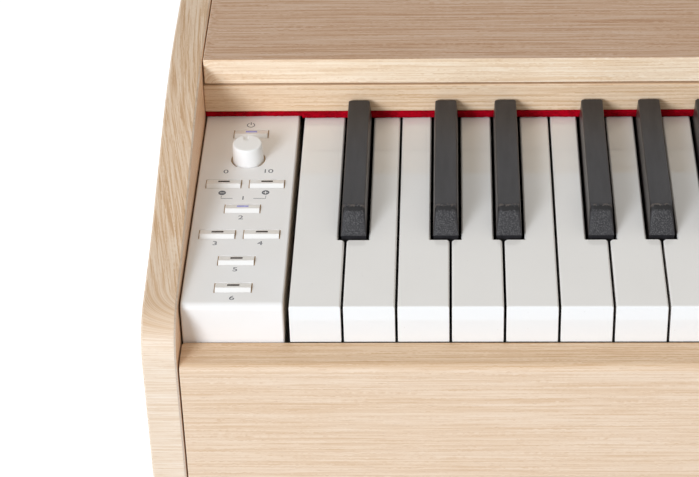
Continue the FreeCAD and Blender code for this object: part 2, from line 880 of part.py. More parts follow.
def panel_bosses(body):
    """Square posts under the top wall that the button board is screwed to."""
    half = s.boss_width / 2
    far = minus_row + s.power_row_gap - s.block_setback
    posts = []
    for x in (s.block_wall + s.boss_inset, s.block_width - s.block_wall - s.boss_inset):
        for y in (s.first_row_setback + s.button_row_pitch / 2, far):
            posts.append(rectangle(x - half, x + half, y - half, y + half))
    sketch = sketch_outline(body, "bosses", "XY_Plane", posts, offset=-s.block_wall)
    pad(body, sketch, "boss_posts", s.block_rise + s.panel_board_drop - s.block_wall, reverse=True)


end_block("control_panel", block_left, with_controls=True)
end_block("right_end_block", cheek_inside - s.block_cheek_gap - s.block_width, with_controls=False)


def button(label, column, row):
    """A bar with a ridge, a bevel towards the player, a hidden flange and a stem over its switch."""
    body = new_body(label)
    half = s.button_width / 2
    flange_top = -s.block_wall - s.button_flange_clearance
    flange_bottom = flange_top - s.button_flange_thickness
    stem_bottom = s.switch_height + s.button_travel + s.switch_clearance - s.block_rise - s.panel_board_drop
    outline = [
        (-half, flange_bottom),
        (half, flange_bottom),
        (half, -s.button_rear_drop),
        (-half + s.button_bevel_run, s.button_ridge_rise),
        (-half, -s.button_front_drop),
    ]
    profile = sketch_outline(body, label + "_profile", "YZ_Plane", outline)
    pad(body, profile, label + "_cap", s.button_length, midplane=True)
    reach_x = s.button_length / 2 + s.button_flange_width
    reach_y = half + s.button_flange_width
    rim = sketch_outline(body, label + "_rim", "XY_Plane", rectangle(-reach_x, reach_x, -reach_y, reach_y),
                         offset=flange_bottom)
    pad(body, rim, label + "_flange", s.button_flange_thickness)
    foot = s.button_stem / 2
    stem = sketch_outline(body, label + "_foot", "XY_Plane", rectangle(-foot, foot, -foot, foot),
                          offset=flange_bottom)
    pad(body, stem, label + "_stem", flange_bottom - stem_bottom, reverse=True)
    window = rectangle(-s.lens_length / 2, s.lens_length / 2,
                       s.lens_setback - s.lens_width / 2, s.lens_setback + s.lens_width / 2)
    lens = sketch_outline(body, label + "_window", "XY_Plane", window, offset=s.button_ridge_rise)
    pocket(body, lens, label + "_lens_slot", s.button_ridge_rise / 2 + s.lens_depth)
    place(body, block_left + button_x(column), key_front + row, block_top)
    return keep(label, body)


for button_name, button_column, button_row in BUTTONS:
    button(button_name, button_column, button_row)


# Volume knob, its shaft and the board under the panel

POINTER_TURN = 11.5
knob_x = block_left + block_middle
knob_y = key_front + knob_row
bore_radius = s.shaft_radius + s.shaft_clearance
bore_top = s.knob_bore_depth - s.knob_sink


def volume_knob():
    body = new_body("volume_knob")
    outline = [
        (zero, -s.knob_sink),
        (s.knob_base_radius, -s.knob_sink),
        (s.knob_top_radius, s.knob_rise - s.knob_edge),
        (s.knob_top_radius - s.knob_edge, s.knob_rise),
        (zero, s.knob_rise),
    ]
    profile = sketch_outline(body, "knob_profile", "XZ_Plane", outline)
    turned = body.newObject("PartDesign::Revolution", "knob_turned")
    turned.Profile = profile
    turned.ReferenceAxis = (profile, ["V_Axis"])
    half = s.pointer_width / 2
    mark = rectangle(-half, half, s.knob_top_radius - s.pointer_length, s.knob_top_radius + s.cut_overrun)
    pointer = sketch_outline(body, "pointer", "XY_Plane", mark, offset=s.knob_rise)
    pocket(body, pointer, "pointer_notch", s.pointer_depth)
    bore = sketch_outline(body, "shaft_bore", "XY_Plane", ring(zero, zero, bore_radius, SHAFT_SIDES),
                          offset=-s.knob_sink)
    pocket(body, bore, "shaft_hole", s.knob_bore_depth, reverse=True)
    body.Placement.Rotation = FreeCAD.Rotation(FreeCAD.Vector(0, 0, 1), POINTER_TURN)
    place(body, knob_x, knob_y, block_top)
    return keep("volume_knob", body)


panel_board_top = key_top - s.panel_board_drop
pot_top = panel_board_top + s.pot_height


def pot_shaft():
    base = pot_top + s.shaft_clearance
    top = block_top + bore_top - s.shaft_clearance
    shaft = prism("pot_shaft", (knob_x, knob_y, base), s.shaft_radius, top - base, SHAFT_SIDES)
    shaft.Placement.Rotation = FreeCAD.Rotation(FreeCAD.Vector(0, 0, 1), POINTER_TURN)
    return keep("pot_shaft", shaft)


def panel_board():
    """The button board with its eight switches and the volume control."""
    margin = s.block_wall + s.panel_board_gap
    low_y = key_front + s.block_setback + margin
    high_y = key_front + minus_row + s.power_row_gap + s.panel_board_reach
    base = box("panel_card", (block_left + margin, low_y, panel_board_top - s.panel_board_thickness),
               (block_left + s.block_width - margin, high_y, panel_board_top))
    pieces = [base]
    half = s.switch_size / 2
    for name, column, row in BUTTONS:
        x = block_left + button_x(column)
        y = key_front + row
        pieces.append(box(name + "_switch", (x - half, y - half, panel_board_top),
                          (x + half, y + half, panel_board_top + s.switch_height)))
    reach = s.pot_size / 2
    pieces.append(box("pot_case", (knob_x - reach, knob_y - reach, panel_board_top),
                      (knob_x + reach, knob_y + reach, pot_top)))
    pieces.append(prism("pot_bush", (knob_x, knob_y, pot_top), s.pot_bush_radius, s.pot_bush_height,
                        SHAFT_SIDES))
    bore = prism("pot_bore", (knob_x, knob_y, pot_top), s.pot_bore_radius, s.pot_bush_height + s.cut_overrun,
                 SHAFT_SIDES)
    return keep("panel_board", cut("panel_board", fused("panel_board_pieces", pieces), [bore]))


volume_knob()
pot_shaft()
panel_board()


# Key chassis: steel strips welded edge to edge, with the folded ridge that the keys rock on

def sheet_runs(path, thickness, left, length):
    """One flat strip for each run of a side-view path, mitred where two runs meet."""
    points = [FreeCAD.Vector(left.value, y.value, z.value) for y, z in path]
    inner = []
    for index, point in enumerate(points):
        before = points[index] - points[index - 1] if index > 0 else points[1] - points[0]
        after = points[index + 1] - point if index + 1 < len(points) else before
        first = FreeCAD.Vector(0, before.z, -before.y).normalize()
        second = FreeCAD.Vector(0, after.z, -after.y).normalize()
        middle = first + second
        inner.append(point + middle * (thickness.value / (1 + first.dot(second))))
    runs = []
    for index in range(len(points) - 1):
        corners = [points[index], points[index + 1], inner[index + 1], inner[index]]
        outline = Part.makePolygon(corners + corners[:1])
        runs.append(Part.Face(outline).extrude(FreeCAD.Vector(length.value, 0, 0)))
    return runs


def key_chassis():
    shelf = key_top - s.chassis_shelf_drop
    ridge_shelf = key_top - s.chassis_ridge_shelf_drop
    pivot = key_front + s.pivot_setback
    rise_end = pivot - s.ridge_half_width - s.ridge_lead
    path = [
        (chassis_front + s.chassis_foot, floor_top),
        (chassis_front, floor_top),
        (chassis_front, shelf),
        (rise_end - s.chassis_rise_run, shelf),
        (rise_end, ridge_shelf),
        (pivot - s.ridge_half_width, ridge_shelf),
        (pivot, key_top - s.pivot_drop - s.pivot_clearance),
        (pivot + s.ridge_half_width, ridge_shelf),
        (chassis_rear, ridge_shelf),
        (chassis_rear, floor_top),
        (chassis_rear - s.chassis_foot, floor_top),
    ]
    runs = sheet_runs(path, s.sheet_thickness, -board_half, board_half * 2)
    foot_holes = holes("foot_hole", screw_spots, screw_hole_radius, floor_top, floor_top + s.sheet_thickness,
                       SHANK_SIDES)
    doc.recompute()
    drills = [hole.Shape for hole in foot_holes]
    feet = (runs[0].cut(drills), runs[-1].cut(drills))
    feature = doc.addObject("Part::Feature", "key_chassis")
    feature.Shape = Part.makeCompound([feet[0]] + runs[1:-1] + [feet[1]])
    return keep("key_chassis", feature)


key_chassis()
shelf_top = key_top - s.chassis_shelf_drop
felt_front = key_front + s.stop_felt_setback
keyboard_end = keyboard_width / 2 - s.contact_end_margin
keep("stop_felt", box("stop_felt", (-keyboard_end, felt_front, shelf_top),
                      (keyboard_end, felt_front + s.stop_felt_width, shelf_top + s.stop_felt_thickness)))


# Key contacts: a long board with a rubber strip that has one dome below each key

contact_front = key_front + s.contact_setback
contact_top = shelf_top + s.contact_board_thickness
keep("contact_board", box("contact_board", (-keyboard_end, contact_front, shelf_top),
                          (keyboard_end, contact_front + s.contact_board_width, contact_top)))


def key_centres():
    centres = []
    for index in range(WHITE_KEYS):
        note = note_at(index)
        centres.append(keys_left + s.white_pitch * (index + 0.5))
        if note in BLACK_AFTER and index < WHITE_KEYS - 1:
            centres.append(keys_left + black_centre(index, note))
    return centres


def contact_rubber():
    """Domes in two rows, so that those of the black keys stand behind those of the white ones."""
    middle = contact_front + s.contact_board_width / 2
    half = s.contact_rubber_width / 2
    dome = s.contact_dome_width / 2
    base_top = contact_top + s.contact_rubber_base
    base = Part.makeBox((keyboard_end * 2).value, s.contact_rubber_width.value, s.contact_rubber_base.value,
                        FreeCAD.Vector((-keyboard_end).value, (middle - half).value, contact_top.value))
    domes = []
    for x in key_centres():
        domes.append(Part.makeBox(s.contact_dome_width.value, s.contact_dome_width.value,
                                  s.contact_dome_height.value,
                                  FreeCAD.Vector((x - dome).value, (middle - dome).value, base_top.value)))
    feature = doc.addObject("Part::Feature", "contact_rubber")
    feature.Shape = base.multiFuse(domes).removeSplitter()
    return keep("contact_rubber", feature)


contact_rubber()


# Electronics at the back: sound board, jacks and power inlet

def main_board():
    left = -s.main_board_offset - s.main_board_length / 2
    right = left + s.main_board_length
    rear = back_inside - s.main_board_gap
    front = rear - s.main_board_depth
    card_bottom = floor_top + s.spacer_height
    pieces = [box("sound_card", (left, front, card_bottom), (right, rear, board_top))]
    spots = [(x, y) for x in (left + s.spacer_inset, right - s.spacer_inset)
             for y in (front + s.spacer_inset, rear - s.spacer_inset)]
    for number, (x, y) in enumerate(spots):
        pieces.append(prism("spacer_%d" % number, (x, y, floor_top), s.spacer_radius, s.spacer_height, 6))
    chip_front = front + s.chip_setback
    for number in range(3):
        x = left + s.chip_inset + s.chip_pitch * number
        pieces.append(box("chip_%d" % number, (x, chip_front, board_top),
                          (x + s.chip_length, chip_front + s.chip_width, board_top + s.chip_height)))
    sink_left = right - s.heat_sink_length - s.heat_sink_inset
    sink_front = front + s.heat_sink_inset
    pieces.append(box("heat_sink", (sink_left, sink_front, board_top),
                      (sink_left + s.heat_sink_length, sink_front + s.heat_sink_depth,
                       board_top + s.heat_sink_height)))
    return keep("main_board", fused("main_board", pieces))


def socket(name, x, axis_z, body_width, body_depth, bush_radius, bore):
    """A socket on the sound board whose round nose ends flush with the back panel."""
    half = body_width / 2
    case = box(name + "_case", (x - half, back_inside - body_depth, board_top),
               (x + half, back_inside, board_top + body_width))
    nose = prism(name + "_nose", (x, back_inside, axis_z), bush_radius, s.back_thickness, NOSE_SIDES, "y")
    return cut(name, fused(name + "_outside", [case, nose]), [bore])


def sockets():
    jacks = []
    for number, x in enumerate(jack_spots):
        name = "audio_jack_%d" % number
        bore = cylinder(name + "_bore", (x, case_back - s.jack_bore_depth, jack_axis_z), s.jack_bore_radius,
                        s.jack_bore_depth + s.cut_overrun, "y")
        jacks.append(socket(name, x, jack_axis_z, s.jack_body_width, s.jack_body_depth, s.jack_bush_radius,
                            bore))
    keep("audio_jacks", group("audio_jacks", jacks))
    bore = prism("inlet_bore", (inlet_x, case_back - s.inlet_bore_depth, inlet_axis_z), s.inlet_bore_radius,
                 s.inlet_bore_depth + s.cut_overrun, NOSE_SIDES, "y")
    shell = socket("inlet_shell", inlet_x, inlet_axis_z, s.inlet_body_width, s.inlet_body_depth,
                   s.inlet_bush_radius, bore)
    start = case_back - s.inlet_bore_depth - s.cut_overrun
    pin = prism("inlet_pin", (inlet_x, start, inlet_axis_z), s.inlet_pin_radius, s.inlet_bore_depth,
                SHANK_SIDES, "y")
    keep("power_inlet", fused("power_inlet", [shell, pin]))


main_board()
sockets()


SPEAKER_SIDES = 24
FOOT_SIDES = 20


# Speakers that face down through the slots in the bottom board

def speaker(side, centre):
    """A steel basket with its cone and magnet, turned in flat facets."""
    label = "speaker_" + side
    flange = s.speaker_flange_thickness
    basket = flange + s.speaker_basket_height
    profile = [
        (zero, basket - s.speaker_cap_drop),
        (s.speaker_dust_cap_radius, basket - s.speaker_cone_drop),
        (s.speaker_cone_radius, zero),
        (s.speaker_radius, zero),
        (s.speaker_radius, flange),
        (s.speaker_cone_radius + s.speaker_wall, flange),
        (s.speaker_neck_radius, basket),
        (s.speaker_magnet_radius, basket),
        (s.speaker_magnet_radius, basket + s.speaker_magnet_height),
        (zero, basket + s.speaker_magnet_height),
    ]
    feature = doc.addObject("Part::Feature", label)
    feature.Shape = faceted_turn(profile, SPEAKER_SIDES)
    place(feature, centre, speaker_y, floor_top)
    return keep(label, feature)


for speaker_side, speaker_x in speaker_spots:
    speaker(speaker_side, speaker_x)


# Feet, screws and the threaded inserts that take a stand

def rubber_feet():
    feet = []
    reach = cheek_inside - s.foot_inset_x
    rows = (case_front + s.foot_inset_y, case_back - s.foot_inset_y)
    spots = [(x, y) for x in (-reach, reach) for y in rows]
    profile = [
        (zero, zero),
        (s.foot_radius - s.foot_taper, zero),
        (s.foot_radius, s.foot_height),
        (zero, s.foot_height),
    ]
    for number, (x, y) in enumerate(spots):
        foot = doc.addObject("Part::Feature", "foot_%d" % number)
        foot.Shape = faceted_turn(profile, FOOT_SIDES)
        place(foot, x, y, zero)
        feet.append(foot)
    return keep("rubber_feet", group("rubber_feet", feet))


def case_screws():
    screws = []
    top = floor_top + s.sheet_thickness + s.screw_shank_radius
    for number, (x, y) in enumerate(screw_spots):
        head = prism("screw_head_%d" % number, (x, y, case_bottom - s.screw_head_height),
                     s.screw_head_radius, s.screw_head_height, 6)
        shank = prism("screw_shank_%d" % number, (x, y, case_bottom), s.screw_shank_radius, top - case_bottom,
                      SHANK_SIDES)
        screws.append(fused("case_screw_%d" % number, [head, shank]))
    return keep("case_screws", group("case_screws", screws))


def stand_inserts():
    inserts = []
    for number, (x, y) in enumerate(insert_spots):
        sleeve = prism("insert_sleeve_%d" % number, (x, y, case_bottom), s.insert_radius, s.bottom_thickness,
                       NOSE_SIDES)
        bore = cylinder("insert_bore_%d" % number, (x, y, case_bottom - s.cut_overrun), s.insert_bore_radius,
                        s.bottom_thickness + s.cut_overrun * 2)
        inserts.append(cut("stand_insert_%d" % number, sleeve, [bore]))
    return keep("stand_inserts", group("stand_inserts", inserts))


rubber_feet()
case_screws()
stand_inserts()


# Check every object and write one file for each piece

doc.recompute()
for thing in doc.Objects:
    if "Invalid" in thing.State or "Error" in thing.State:
        raise RuntimeError(thing.Name + " failed: " + ", ".join(thing.State))
os.makedirs("parts", exist_ok=True)
for label, thing in parts.items():
    shape = thing.Shape
    if shape.isNull() or not shape.isValid() or not shape.Solids:
        raise RuntimeError(label + " has no valid solid")
    shape.exportStep("parts/" + label + ".step")
print(len(parts), "nodes written")
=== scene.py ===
import json
import math

import bmesh
import bpy
from mathutils import Matrix, Vector

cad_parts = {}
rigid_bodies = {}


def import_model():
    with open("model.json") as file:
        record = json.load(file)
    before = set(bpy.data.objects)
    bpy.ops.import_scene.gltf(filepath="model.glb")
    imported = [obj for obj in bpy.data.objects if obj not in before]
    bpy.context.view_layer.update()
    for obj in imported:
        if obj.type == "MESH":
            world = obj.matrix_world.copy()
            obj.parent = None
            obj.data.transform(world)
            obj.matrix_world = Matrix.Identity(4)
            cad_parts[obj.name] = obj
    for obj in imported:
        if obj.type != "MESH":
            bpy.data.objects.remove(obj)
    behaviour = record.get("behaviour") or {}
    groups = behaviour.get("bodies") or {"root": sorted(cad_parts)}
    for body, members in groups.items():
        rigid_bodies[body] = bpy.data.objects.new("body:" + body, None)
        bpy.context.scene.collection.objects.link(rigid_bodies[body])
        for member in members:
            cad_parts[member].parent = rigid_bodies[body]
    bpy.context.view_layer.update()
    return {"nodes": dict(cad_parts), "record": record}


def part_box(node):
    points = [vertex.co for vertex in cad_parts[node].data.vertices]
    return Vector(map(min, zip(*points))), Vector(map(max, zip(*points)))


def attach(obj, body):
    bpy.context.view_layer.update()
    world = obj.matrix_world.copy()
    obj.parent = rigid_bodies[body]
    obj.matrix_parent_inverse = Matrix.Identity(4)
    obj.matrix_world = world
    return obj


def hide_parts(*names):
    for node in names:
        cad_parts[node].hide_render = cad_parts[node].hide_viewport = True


# Stage piano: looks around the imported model. Metres, in the model's own frame.

MM = 0.001

for thing in list(bpy.data.objects):
    bpy.data.objects.remove(thing)
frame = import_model()
nodes = frame["nodes"]
SLOTS = {subpart["node"]: subpart["material_slot"] for subpart in frame["record"]["subparts"]}


# Small tools for node materials

class Shader:
    """A node material with one Principled shader, built by short calls."""

    def __init__(self, name, **constants):
        self.material = bpy.data.materials.new(name)
        self.material.use_nodes = True
        self.tree = self.material.node_tree
        self.tree.nodes.clear()
        self.output = self.tree.nodes.new("ShaderNodeOutputMaterial")
        self.surface = self.tree.nodes.new("ShaderNodeBsdfPrincipled")
        self.tree.links.new(self.surface.outputs[0], self.output.inputs[0])
        for socket, value in constants.items():
            self.surface.inputs[socket.replace("_", " ")].default_value = value
        coordinates = self.add("ShaderNodeTexCoord").outputs
        self.place = coordinates["Object"]
        self.facing = coordinates["Normal"]

    def add(self, kind, inputs=None, **settings):
        node = self.tree.nodes.new(kind)
        for key, value in settings.items():
            setattr(node, key, value)
        for key, value in (inputs or {}).items():
            self.feed(node.inputs[key], value)
        return node

    def feed(self, socket, value):
        if isinstance(value, bpy.types.NodeSocket):
            self.tree.links.new(value, socket)
        else:
            socket.default_value = value

    def math(self, operation, a, b=0.0, c=0.0):
        return self.add("ShaderNodeMath", {0: a, 1: b, 2: c}, operation=operation).outputs[0]

    def plus(self, a, b):
        return self.math("ADD", a, b)

    def minus(self, a, b):
        return self.math("SUBTRACT", a, b)

    def times(self, a, b):
        return self.math("MULTIPLY", a, b)

    def times_plus(self, a, b, c):
        return self.math("MULTIPLY_ADD", a, b, c)

    def parts(self, vector):
        return self.add("ShaderNodeSeparateXYZ", {0: vector}).outputs

    def vector(self, operation, a, b):
        return self.add("ShaderNodeVectorMath", {0: a, 1: b}, operation=operation).outputs[0]

    def noise(self, place, scale, detail=2.0, roughness=0.5):
        node = self.add("ShaderNodeTexNoise", {"Vector": place, "Scale": scale, "Detail": detail,
                                               "Roughness": roughness})
        return node.outputs["Fac"]

    def stretched(self, place, scale):
        return self.vector("MULTIPLY", place, scale)

    def between(self, value, low, high, to_low=0.0, to_high=1.0, smooth=False):
        node = self.add("ShaderNodeMapRange", {"Value": value, "From Min": low, "From Max": high,
                                               "To Min": to_low, "To Max": to_high})
        if smooth:
            node.interpolation_type = "SMOOTHSTEP"
        return node.outputs["Result"]

    def ramp(self, value, stops):
        node = self.add("ShaderNodeValToRGB", {0: value})
        elements = node.color_ramp.elements
        while len(elements) < len(stops):
            elements.new(0.5)
        for element, (position, colour) in zip(elements, stops):
            element.position = position
            element.color = (*colour, 1.0)
        return node.outputs[0]

    def mix(self, share, a, b, blend="MIX"):
        node = self.add("ShaderNodeMix", data_type="RGBA", blend_type=blend)
        self.feed(node.inputs[0], share)
        for socket, value in ((node.inputs[6], a), (node.inputs[7], b)):
            self.feed(socket, value if isinstance(value, bpy.types.NodeSocket) else (*value, 1.0))
        return node.outputs[2]

    def colour(self, value):
        self.feed(self.surface.inputs["Base Color"], value)

    def roughness(self, value):
        self.feed(self.surface.inputs["Roughness"], value)

    def bump(self, height, depth, strength=1.0):
        node = self.add("ShaderNodeBump", {"Height": height, "Distance": depth, "Strength": strength})
        self.feed(self.surface.inputs["Normal"], node.outputs[0])


def linear(red, green, blue):
    """A colour written in sRGB values of 0 to 255, as the shader's linear values."""
    def channel(value):
        value /= 255.0
        return value / 12.92 if value <= 0.04045 else ((value + 0.055) / 1.055) ** 2.4
    return (channel(red), channel(green), channel(blue))


# Oak foil. On the cheeks: the outer faces, where the grain bends along the profile, and how steep it gets

CHEEK_OUTER = 0.6733
# Across the cheek's inner top edge: a pale band, painted highlight
CHEEK_HIGHLIGHT_BAND = (0.01415, 0.01445)
# The cheek's inner face, which takes painted warm shade
CHEEK_INNER = (0.0148, 0.0150)
NOSE_BEND = (0.036, 0.064)
NOSE_END = 0.074
NOSE_SLOPE = 0.75
ARM_BEND = (-0.15, -0.08)
ARM_SLOPE = 0.10
ARM_DRIFT = 0.05
OAK_TONES = [
    (0.34, linear(200, 163, 124)), (0.43, linear(221, 190, 155)), (0.50, linear(234, 209, 180)),
    (0.57, linear(243, 223, 199)), (0.68, linear(251, 239, 222)),
]
OAK_PALE = linear(250, 236, 218)
OAK_PORE = linear(182, 142, 104)
# Colour of the painted highlight on the cheek's inner top edge
OAK_EDGE_HIGHLIGHT = linear(255, 247, 236)
# Tint of the painted warm shade on the cheek's inner face
INNER_WARM_SHADE = (1.09, 0.91, 0.77)


def bend(shader, path, start, end, slope):
    """The fall of a line whose slope grows from nothing at start to slope at end and then stays."""
    early = shader.math("MAXIMUM", shader.minus(path, start), 0.0)
    late = shader.math("MAXIMUM", shader.minus(path, end), 0.0)
    grown = shader.minus(shader.times(early, early), shader.times(late, late))
    return shader.times(grown, slope / (2 * (end - start)))


def cheek_grain(shader, y, z, inward, path, side):
    """Where the grain of a cheek runs: along the arm, over the nose and across the front."""
    fall = shader.plus(bend(shader, path, *NOSE_BEND, NOSE_SLOPE), bend(shader, path, *ARM_BEND, ARM_SLOPE))
    fall = shader.times_plus(path, ARM_DRIFT, fall)
    keep = shader.between(path, NOSE_BEND[0], NOSE_END, 1.0, 0.0, smooth=True)
    flow = shader.minus(shader.times(inward, keep), fall)
    plain = shader.minus(1.0, side)
    turned = shader.plus(shader.times(path, keep), shader.times(inward, shader.minus(1.0, keep)))
    run = shader.plus(shader.times(turned, plain), shader.times(y, side))
    across = shader.plus(shader.times(flow, plain), shader.times(z, side))
    return run, across, shader.times(side, 0.3)


def knot_depth(shader, x, z, knot):
    """Past a knot, given by its X and Z, the grain curls round it instead of running on."""
    flat = shader.math("MAXIMUM", shader.minus(knot[0], x), 0.0)
    above = shader.minus(z, knot[1])
    reach = shader.math("SQRT", shader.plus(shader.times(flat, flat), shader.times(above, above)))
    return shader.plus(reach, knot[1])


def oak(name, along, painted_top_shade, tone, contrast, contour=0.012, knot=None, lift=0.0):
    """Light oak foil. The grain runs along X or, on a cheek, along Y.
    The two values of contrast hold for upright and for upward faces.
    Upward faces are darkened by painted_top_shade: painted shade.
    tone and lift set the overall colour of each copy: partly the board's own colour, partly painted light."""
    shader = Shader(name, Specular_IOR_Level=0.42)
    x, y, z = shader.parts(shader.place)
    facing = shader.parts(shader.facing)
    upward = shader.between(facing[2], 0.30, 0.95)
    cheek = along == "Y"
    run, across, depth = x, y, z
    if cheek:
        side = shader.between(shader.math("ABSOLUTE", facing[0]), 0.55, 0.85)
        inward = shader.minus(CHEEK_OUTER, shader.math("ABSOLUTE", x))
        path = shader.times(shader.plus(y, z), -1.0)
        run, across, depth = cheek_grain(shader, y, z, inward, path, side)
    if knot:
        depth = knot_depth(shader, x, z, knot)
    length, paleness = (3.0, 0.35) if cheek else (1.0, 0.22)
    drift_share, crinkle_share = (0.004, 0.0003) if cheek else (0.003, 0.0007)

    grain = shader.add("ShaderNodeCombineXYZ", {0: run, 1: across, 2: depth}).outputs[0]
    drift = shader.noise(shader.stretched(grain, (3.5, 20.0, 20.0)), 1.0, 2.0, 0.5)
    crinkle = shader.noise(shader.stretched(grain, (420.0, 420.0, 420.0)), 1.0, 1.0, 0.5)
    swing = shader.times(shader.minus(drift, 0.5), drift_share)
    swing = shader.times_plus(shader.minus(crinkle, 0.5), crinkle_share, swing)
    shift = shader.add("ShaderNodeCombineXYZ", {0: 0.0, 1: swing, 2: swing}).outputs[0]
    lines = shader.vector("ADD", grain, shift)

    def grain_noise(length, width, detail, roughness):
        return shader.noise(shader.stretched(lines, (length, width, width)), 1.0, detail, roughness)

    bands = grain_noise(2.0 * length, 75.0, 2.0, 0.5)
    streaks = grain_noise(6.0 * length, 420.0, 1.0, 0.6)
    fine = shader.between(grain_noise(9.0 * length, 1150.0, 2.0, 0.6), 0.40, 0.60, smooth=True)
    hair = shader.between(grain_noise(40.0, 1500.0, 2.0, 0.6), 0.40, 0.60, smooth=True)
    pale = shader.between(grain_noise(8.0 * length, 1200.0, 2.0, 0.6), 0.54, 0.64, 0.0, paleness)
    open_pore = shader.between(grain_noise(150.0, 2400.0, 2.0, 0.7), 0.38, 0.30, 0.0, 0.30)
    rings = shader.math("SINE", shader.times(grain_noise(1.5, 40.0, 1.0, 0.4), 190.0))
    level = 0.5
    for pattern, share in ((bands, 0.03), (streaks, 0.018), (fine, 0.095), (hair, 0.07)):
        level = shader.times_plus(shader.minus(pattern, 0.5), share, level)
    ring_share = shader.between(upward, 0.0, 1.0, 0.006, contour) if cheek else contour
    level = shader.times_plus(rings, ring_share, level)
    strength = shader.between(upward, 0.0, 1.0, *contrast)
    if cheek:
        strength = shader.times(strength, shader.between(path, 0.02, 0.06, 1.0, 0.6))
    level = shader.times_plus(shader.minus(level, 0.5), strength, 0.5 + lift)

    shade = shader.ramp(level, OAK_TONES)
    shade = shader.mix(pale, shade, OAK_PALE)
    shade = shader.mix(open_pore, shade, OAK_PORE)
    if cheek:
        # A pale band along the cheek's inner top edge: painted highlight
        edge_highlight = shader.times(shader.between(inward, *CHEEK_HIGHLIGHT_BAND, 0.0, 0.62), shader.minus(1.0, side))
        shade = shader.mix(edge_highlight, shade, OAK_EDGE_HIGHLIGHT)
        # The cheek's inner face is tinted warmer and darker: painted warm shade
        painted_inner_shade = shader.times(side, shader.between(inward, *CHEEK_INNER))
        shade = shader.mix(painted_inner_shade, shade, shader.mix(1.0, shade, INNER_WARM_SHADE, "MULTIPLY"))
    # tone: partly the board's own colour, partly painted light; then painted shade on upward faces
    shade = shader.mix(1.0, shade, tone, "MULTIPLY")
    shade = shader.mix(upward, shade, shader.mix(1.0, shade, painted_top_shade, "MULTIPLY"))
    shader.colour(shade)
    shader.roughness(shader.between(fine, 0.3, 0.7, 0.50, 0.38))
    shader.bump(shader.minus(shader.times(fine, 0.5), open_pore), 0.00005, 0.5)
    return shader.material


# Keys

def key_white():
    """Glossy white keys with a trace of dust. Their fronts are a little paler and less warm than the tops:
    painted light.
    """
    shader = Shader("white_key_gloss", Specular_IOR_Level=0.9)
    cloud = shader.noise(shader.place, 30.0, 3.0)
    specks = shader.noise(shader.place, 900.0, 1.0)
    tone = shader.mix(shader.between(cloud, 0.3, 0.7), (0.838, 0.807, 0.765), (0.863, 0.833, 0.792))
    # Fronts paler and cooler than the tops: painted light
    front = shader.between(shader.parts(shader.facing)[1], -0.4, -0.9)
    tone = shader.mix(front, tone, (0.857, 0.852, 0.835))
    dust = shader.between(specks, 0.76, 0.82, 0.0, 0.35)
    shader.colour(shader.mix(dust, tone, (0.62, 0.58, 0.54)))
    shader.roughness(shader.between(cloud, 0.3, 0.7, 0.015, 0.035))
    shader.bump(shader.noise(shader.place, 60.0, 2.0), 0.00002, 0.06)
    return shader.material


BLACK_RIDGE = -0.0940


def key_black():
    """Dark matt keys with a grained bump. The sloping nose carries painted speckled sheen, and above it the
    ridge has patches of painted warm highlight over a painted shade crease. The side walls take painted warm
    light.
    """
    shader = Shader("black_key_matt", Specular_IOR_Level=0.36)
    y = shader.parts(shader.place)[1]
    facing = shader.parts(shader.facing)
    sideways = shader.math("ABSOLUTE", facing[0])
    forward = shader.times(facing[1], -1.0)
    slope = shader.between(forward, 0.15, 0.42, smooth=True)
    slope = shader.times(slope, shader.between(forward, 0.97, 0.90))
    # Mask of the forward-facing nose, for the painted speckled sheen
    nose = shader.times(slope, shader.between(sideways, 0.28, 0.50, 1.0, 0.0, smooth=True))
    grain = shader.noise(shader.place, 2100.0, 1.0, 0.6)
    rub = shader.noise(shader.stretched(shader.place, (260.0, 38.0, 260.0)), 1.0, 3.0, 0.6)
    tone = shader.mix(shader.between(rub, 0.3, 0.7), (0.0180, 0.0166, 0.0182), (0.0278, 0.0258, 0.0278))
    uneven = shader.times(shader.minus(shader.noise(shader.place, 1300.0, 2.0), 0.5), 0.0022)
    ahead = shader.minus(shader.plus(y, uneven), BLACK_RIDGE)
    # A thin band just ahead of BLACK_RIDGE: painted warm highlight, in patches
    ridge_highlight = shader.times(shader.between(ahead, -0.0004, -0.0001), shader.between(ahead, 0.0010, 0.0006))
    highlight_patch = shader.between(shader.noise(shader.place, 700.0, 1.0), 0.42, 0.58, 0.0, 0.50)
    # A dark band below the ridge: painted shade in the crease
    crease_shade = shader.times(shader.between(ahead, -0.0020, -0.0016), shader.between(ahead, 0.0, -0.0004))
    # Faces turned sideways tinted brown: painted warm light
    painted_wall = shader.between(sideways, 0.75, 0.92, 0.0, 0.40)
    # Pale specks on the forward-facing nose: painted sheen
    spark = shader.times(shader.between(grain, 0.49, 0.66), nose)
    tone = shader.mix(spark, tone, (0.092, 0.089, 0.088))
    tone = shader.mix(painted_wall, tone, (0.050, 0.034, 0.025))
    tone = shader.mix(crease_shade, tone, (0.006, 0.005, 0.005))
    # Patches of painted warm highlight along the ridge
    shader.colour(shader.mix(shader.times(ridge_highlight, highlight_patch), tone, (0.125, 0.096, 0.078)))
    shader.roughness(shader.between(rub, 0.3, 0.7, 0.40, 0.33))
    shader.bump(grain, 0.00010, 0.30)
    return shader.material


# White mouldings with painted shade in their gaps, with the middle, half width and front of the panel's
# button field

PANEL_X = -0.63525
FIELD_HALF = (0.0202, 0.0198)
FIELD_FRONT = (-0.1484, -0.1480)
PANEL_RIGHT = (-0.6138, -0.6134)


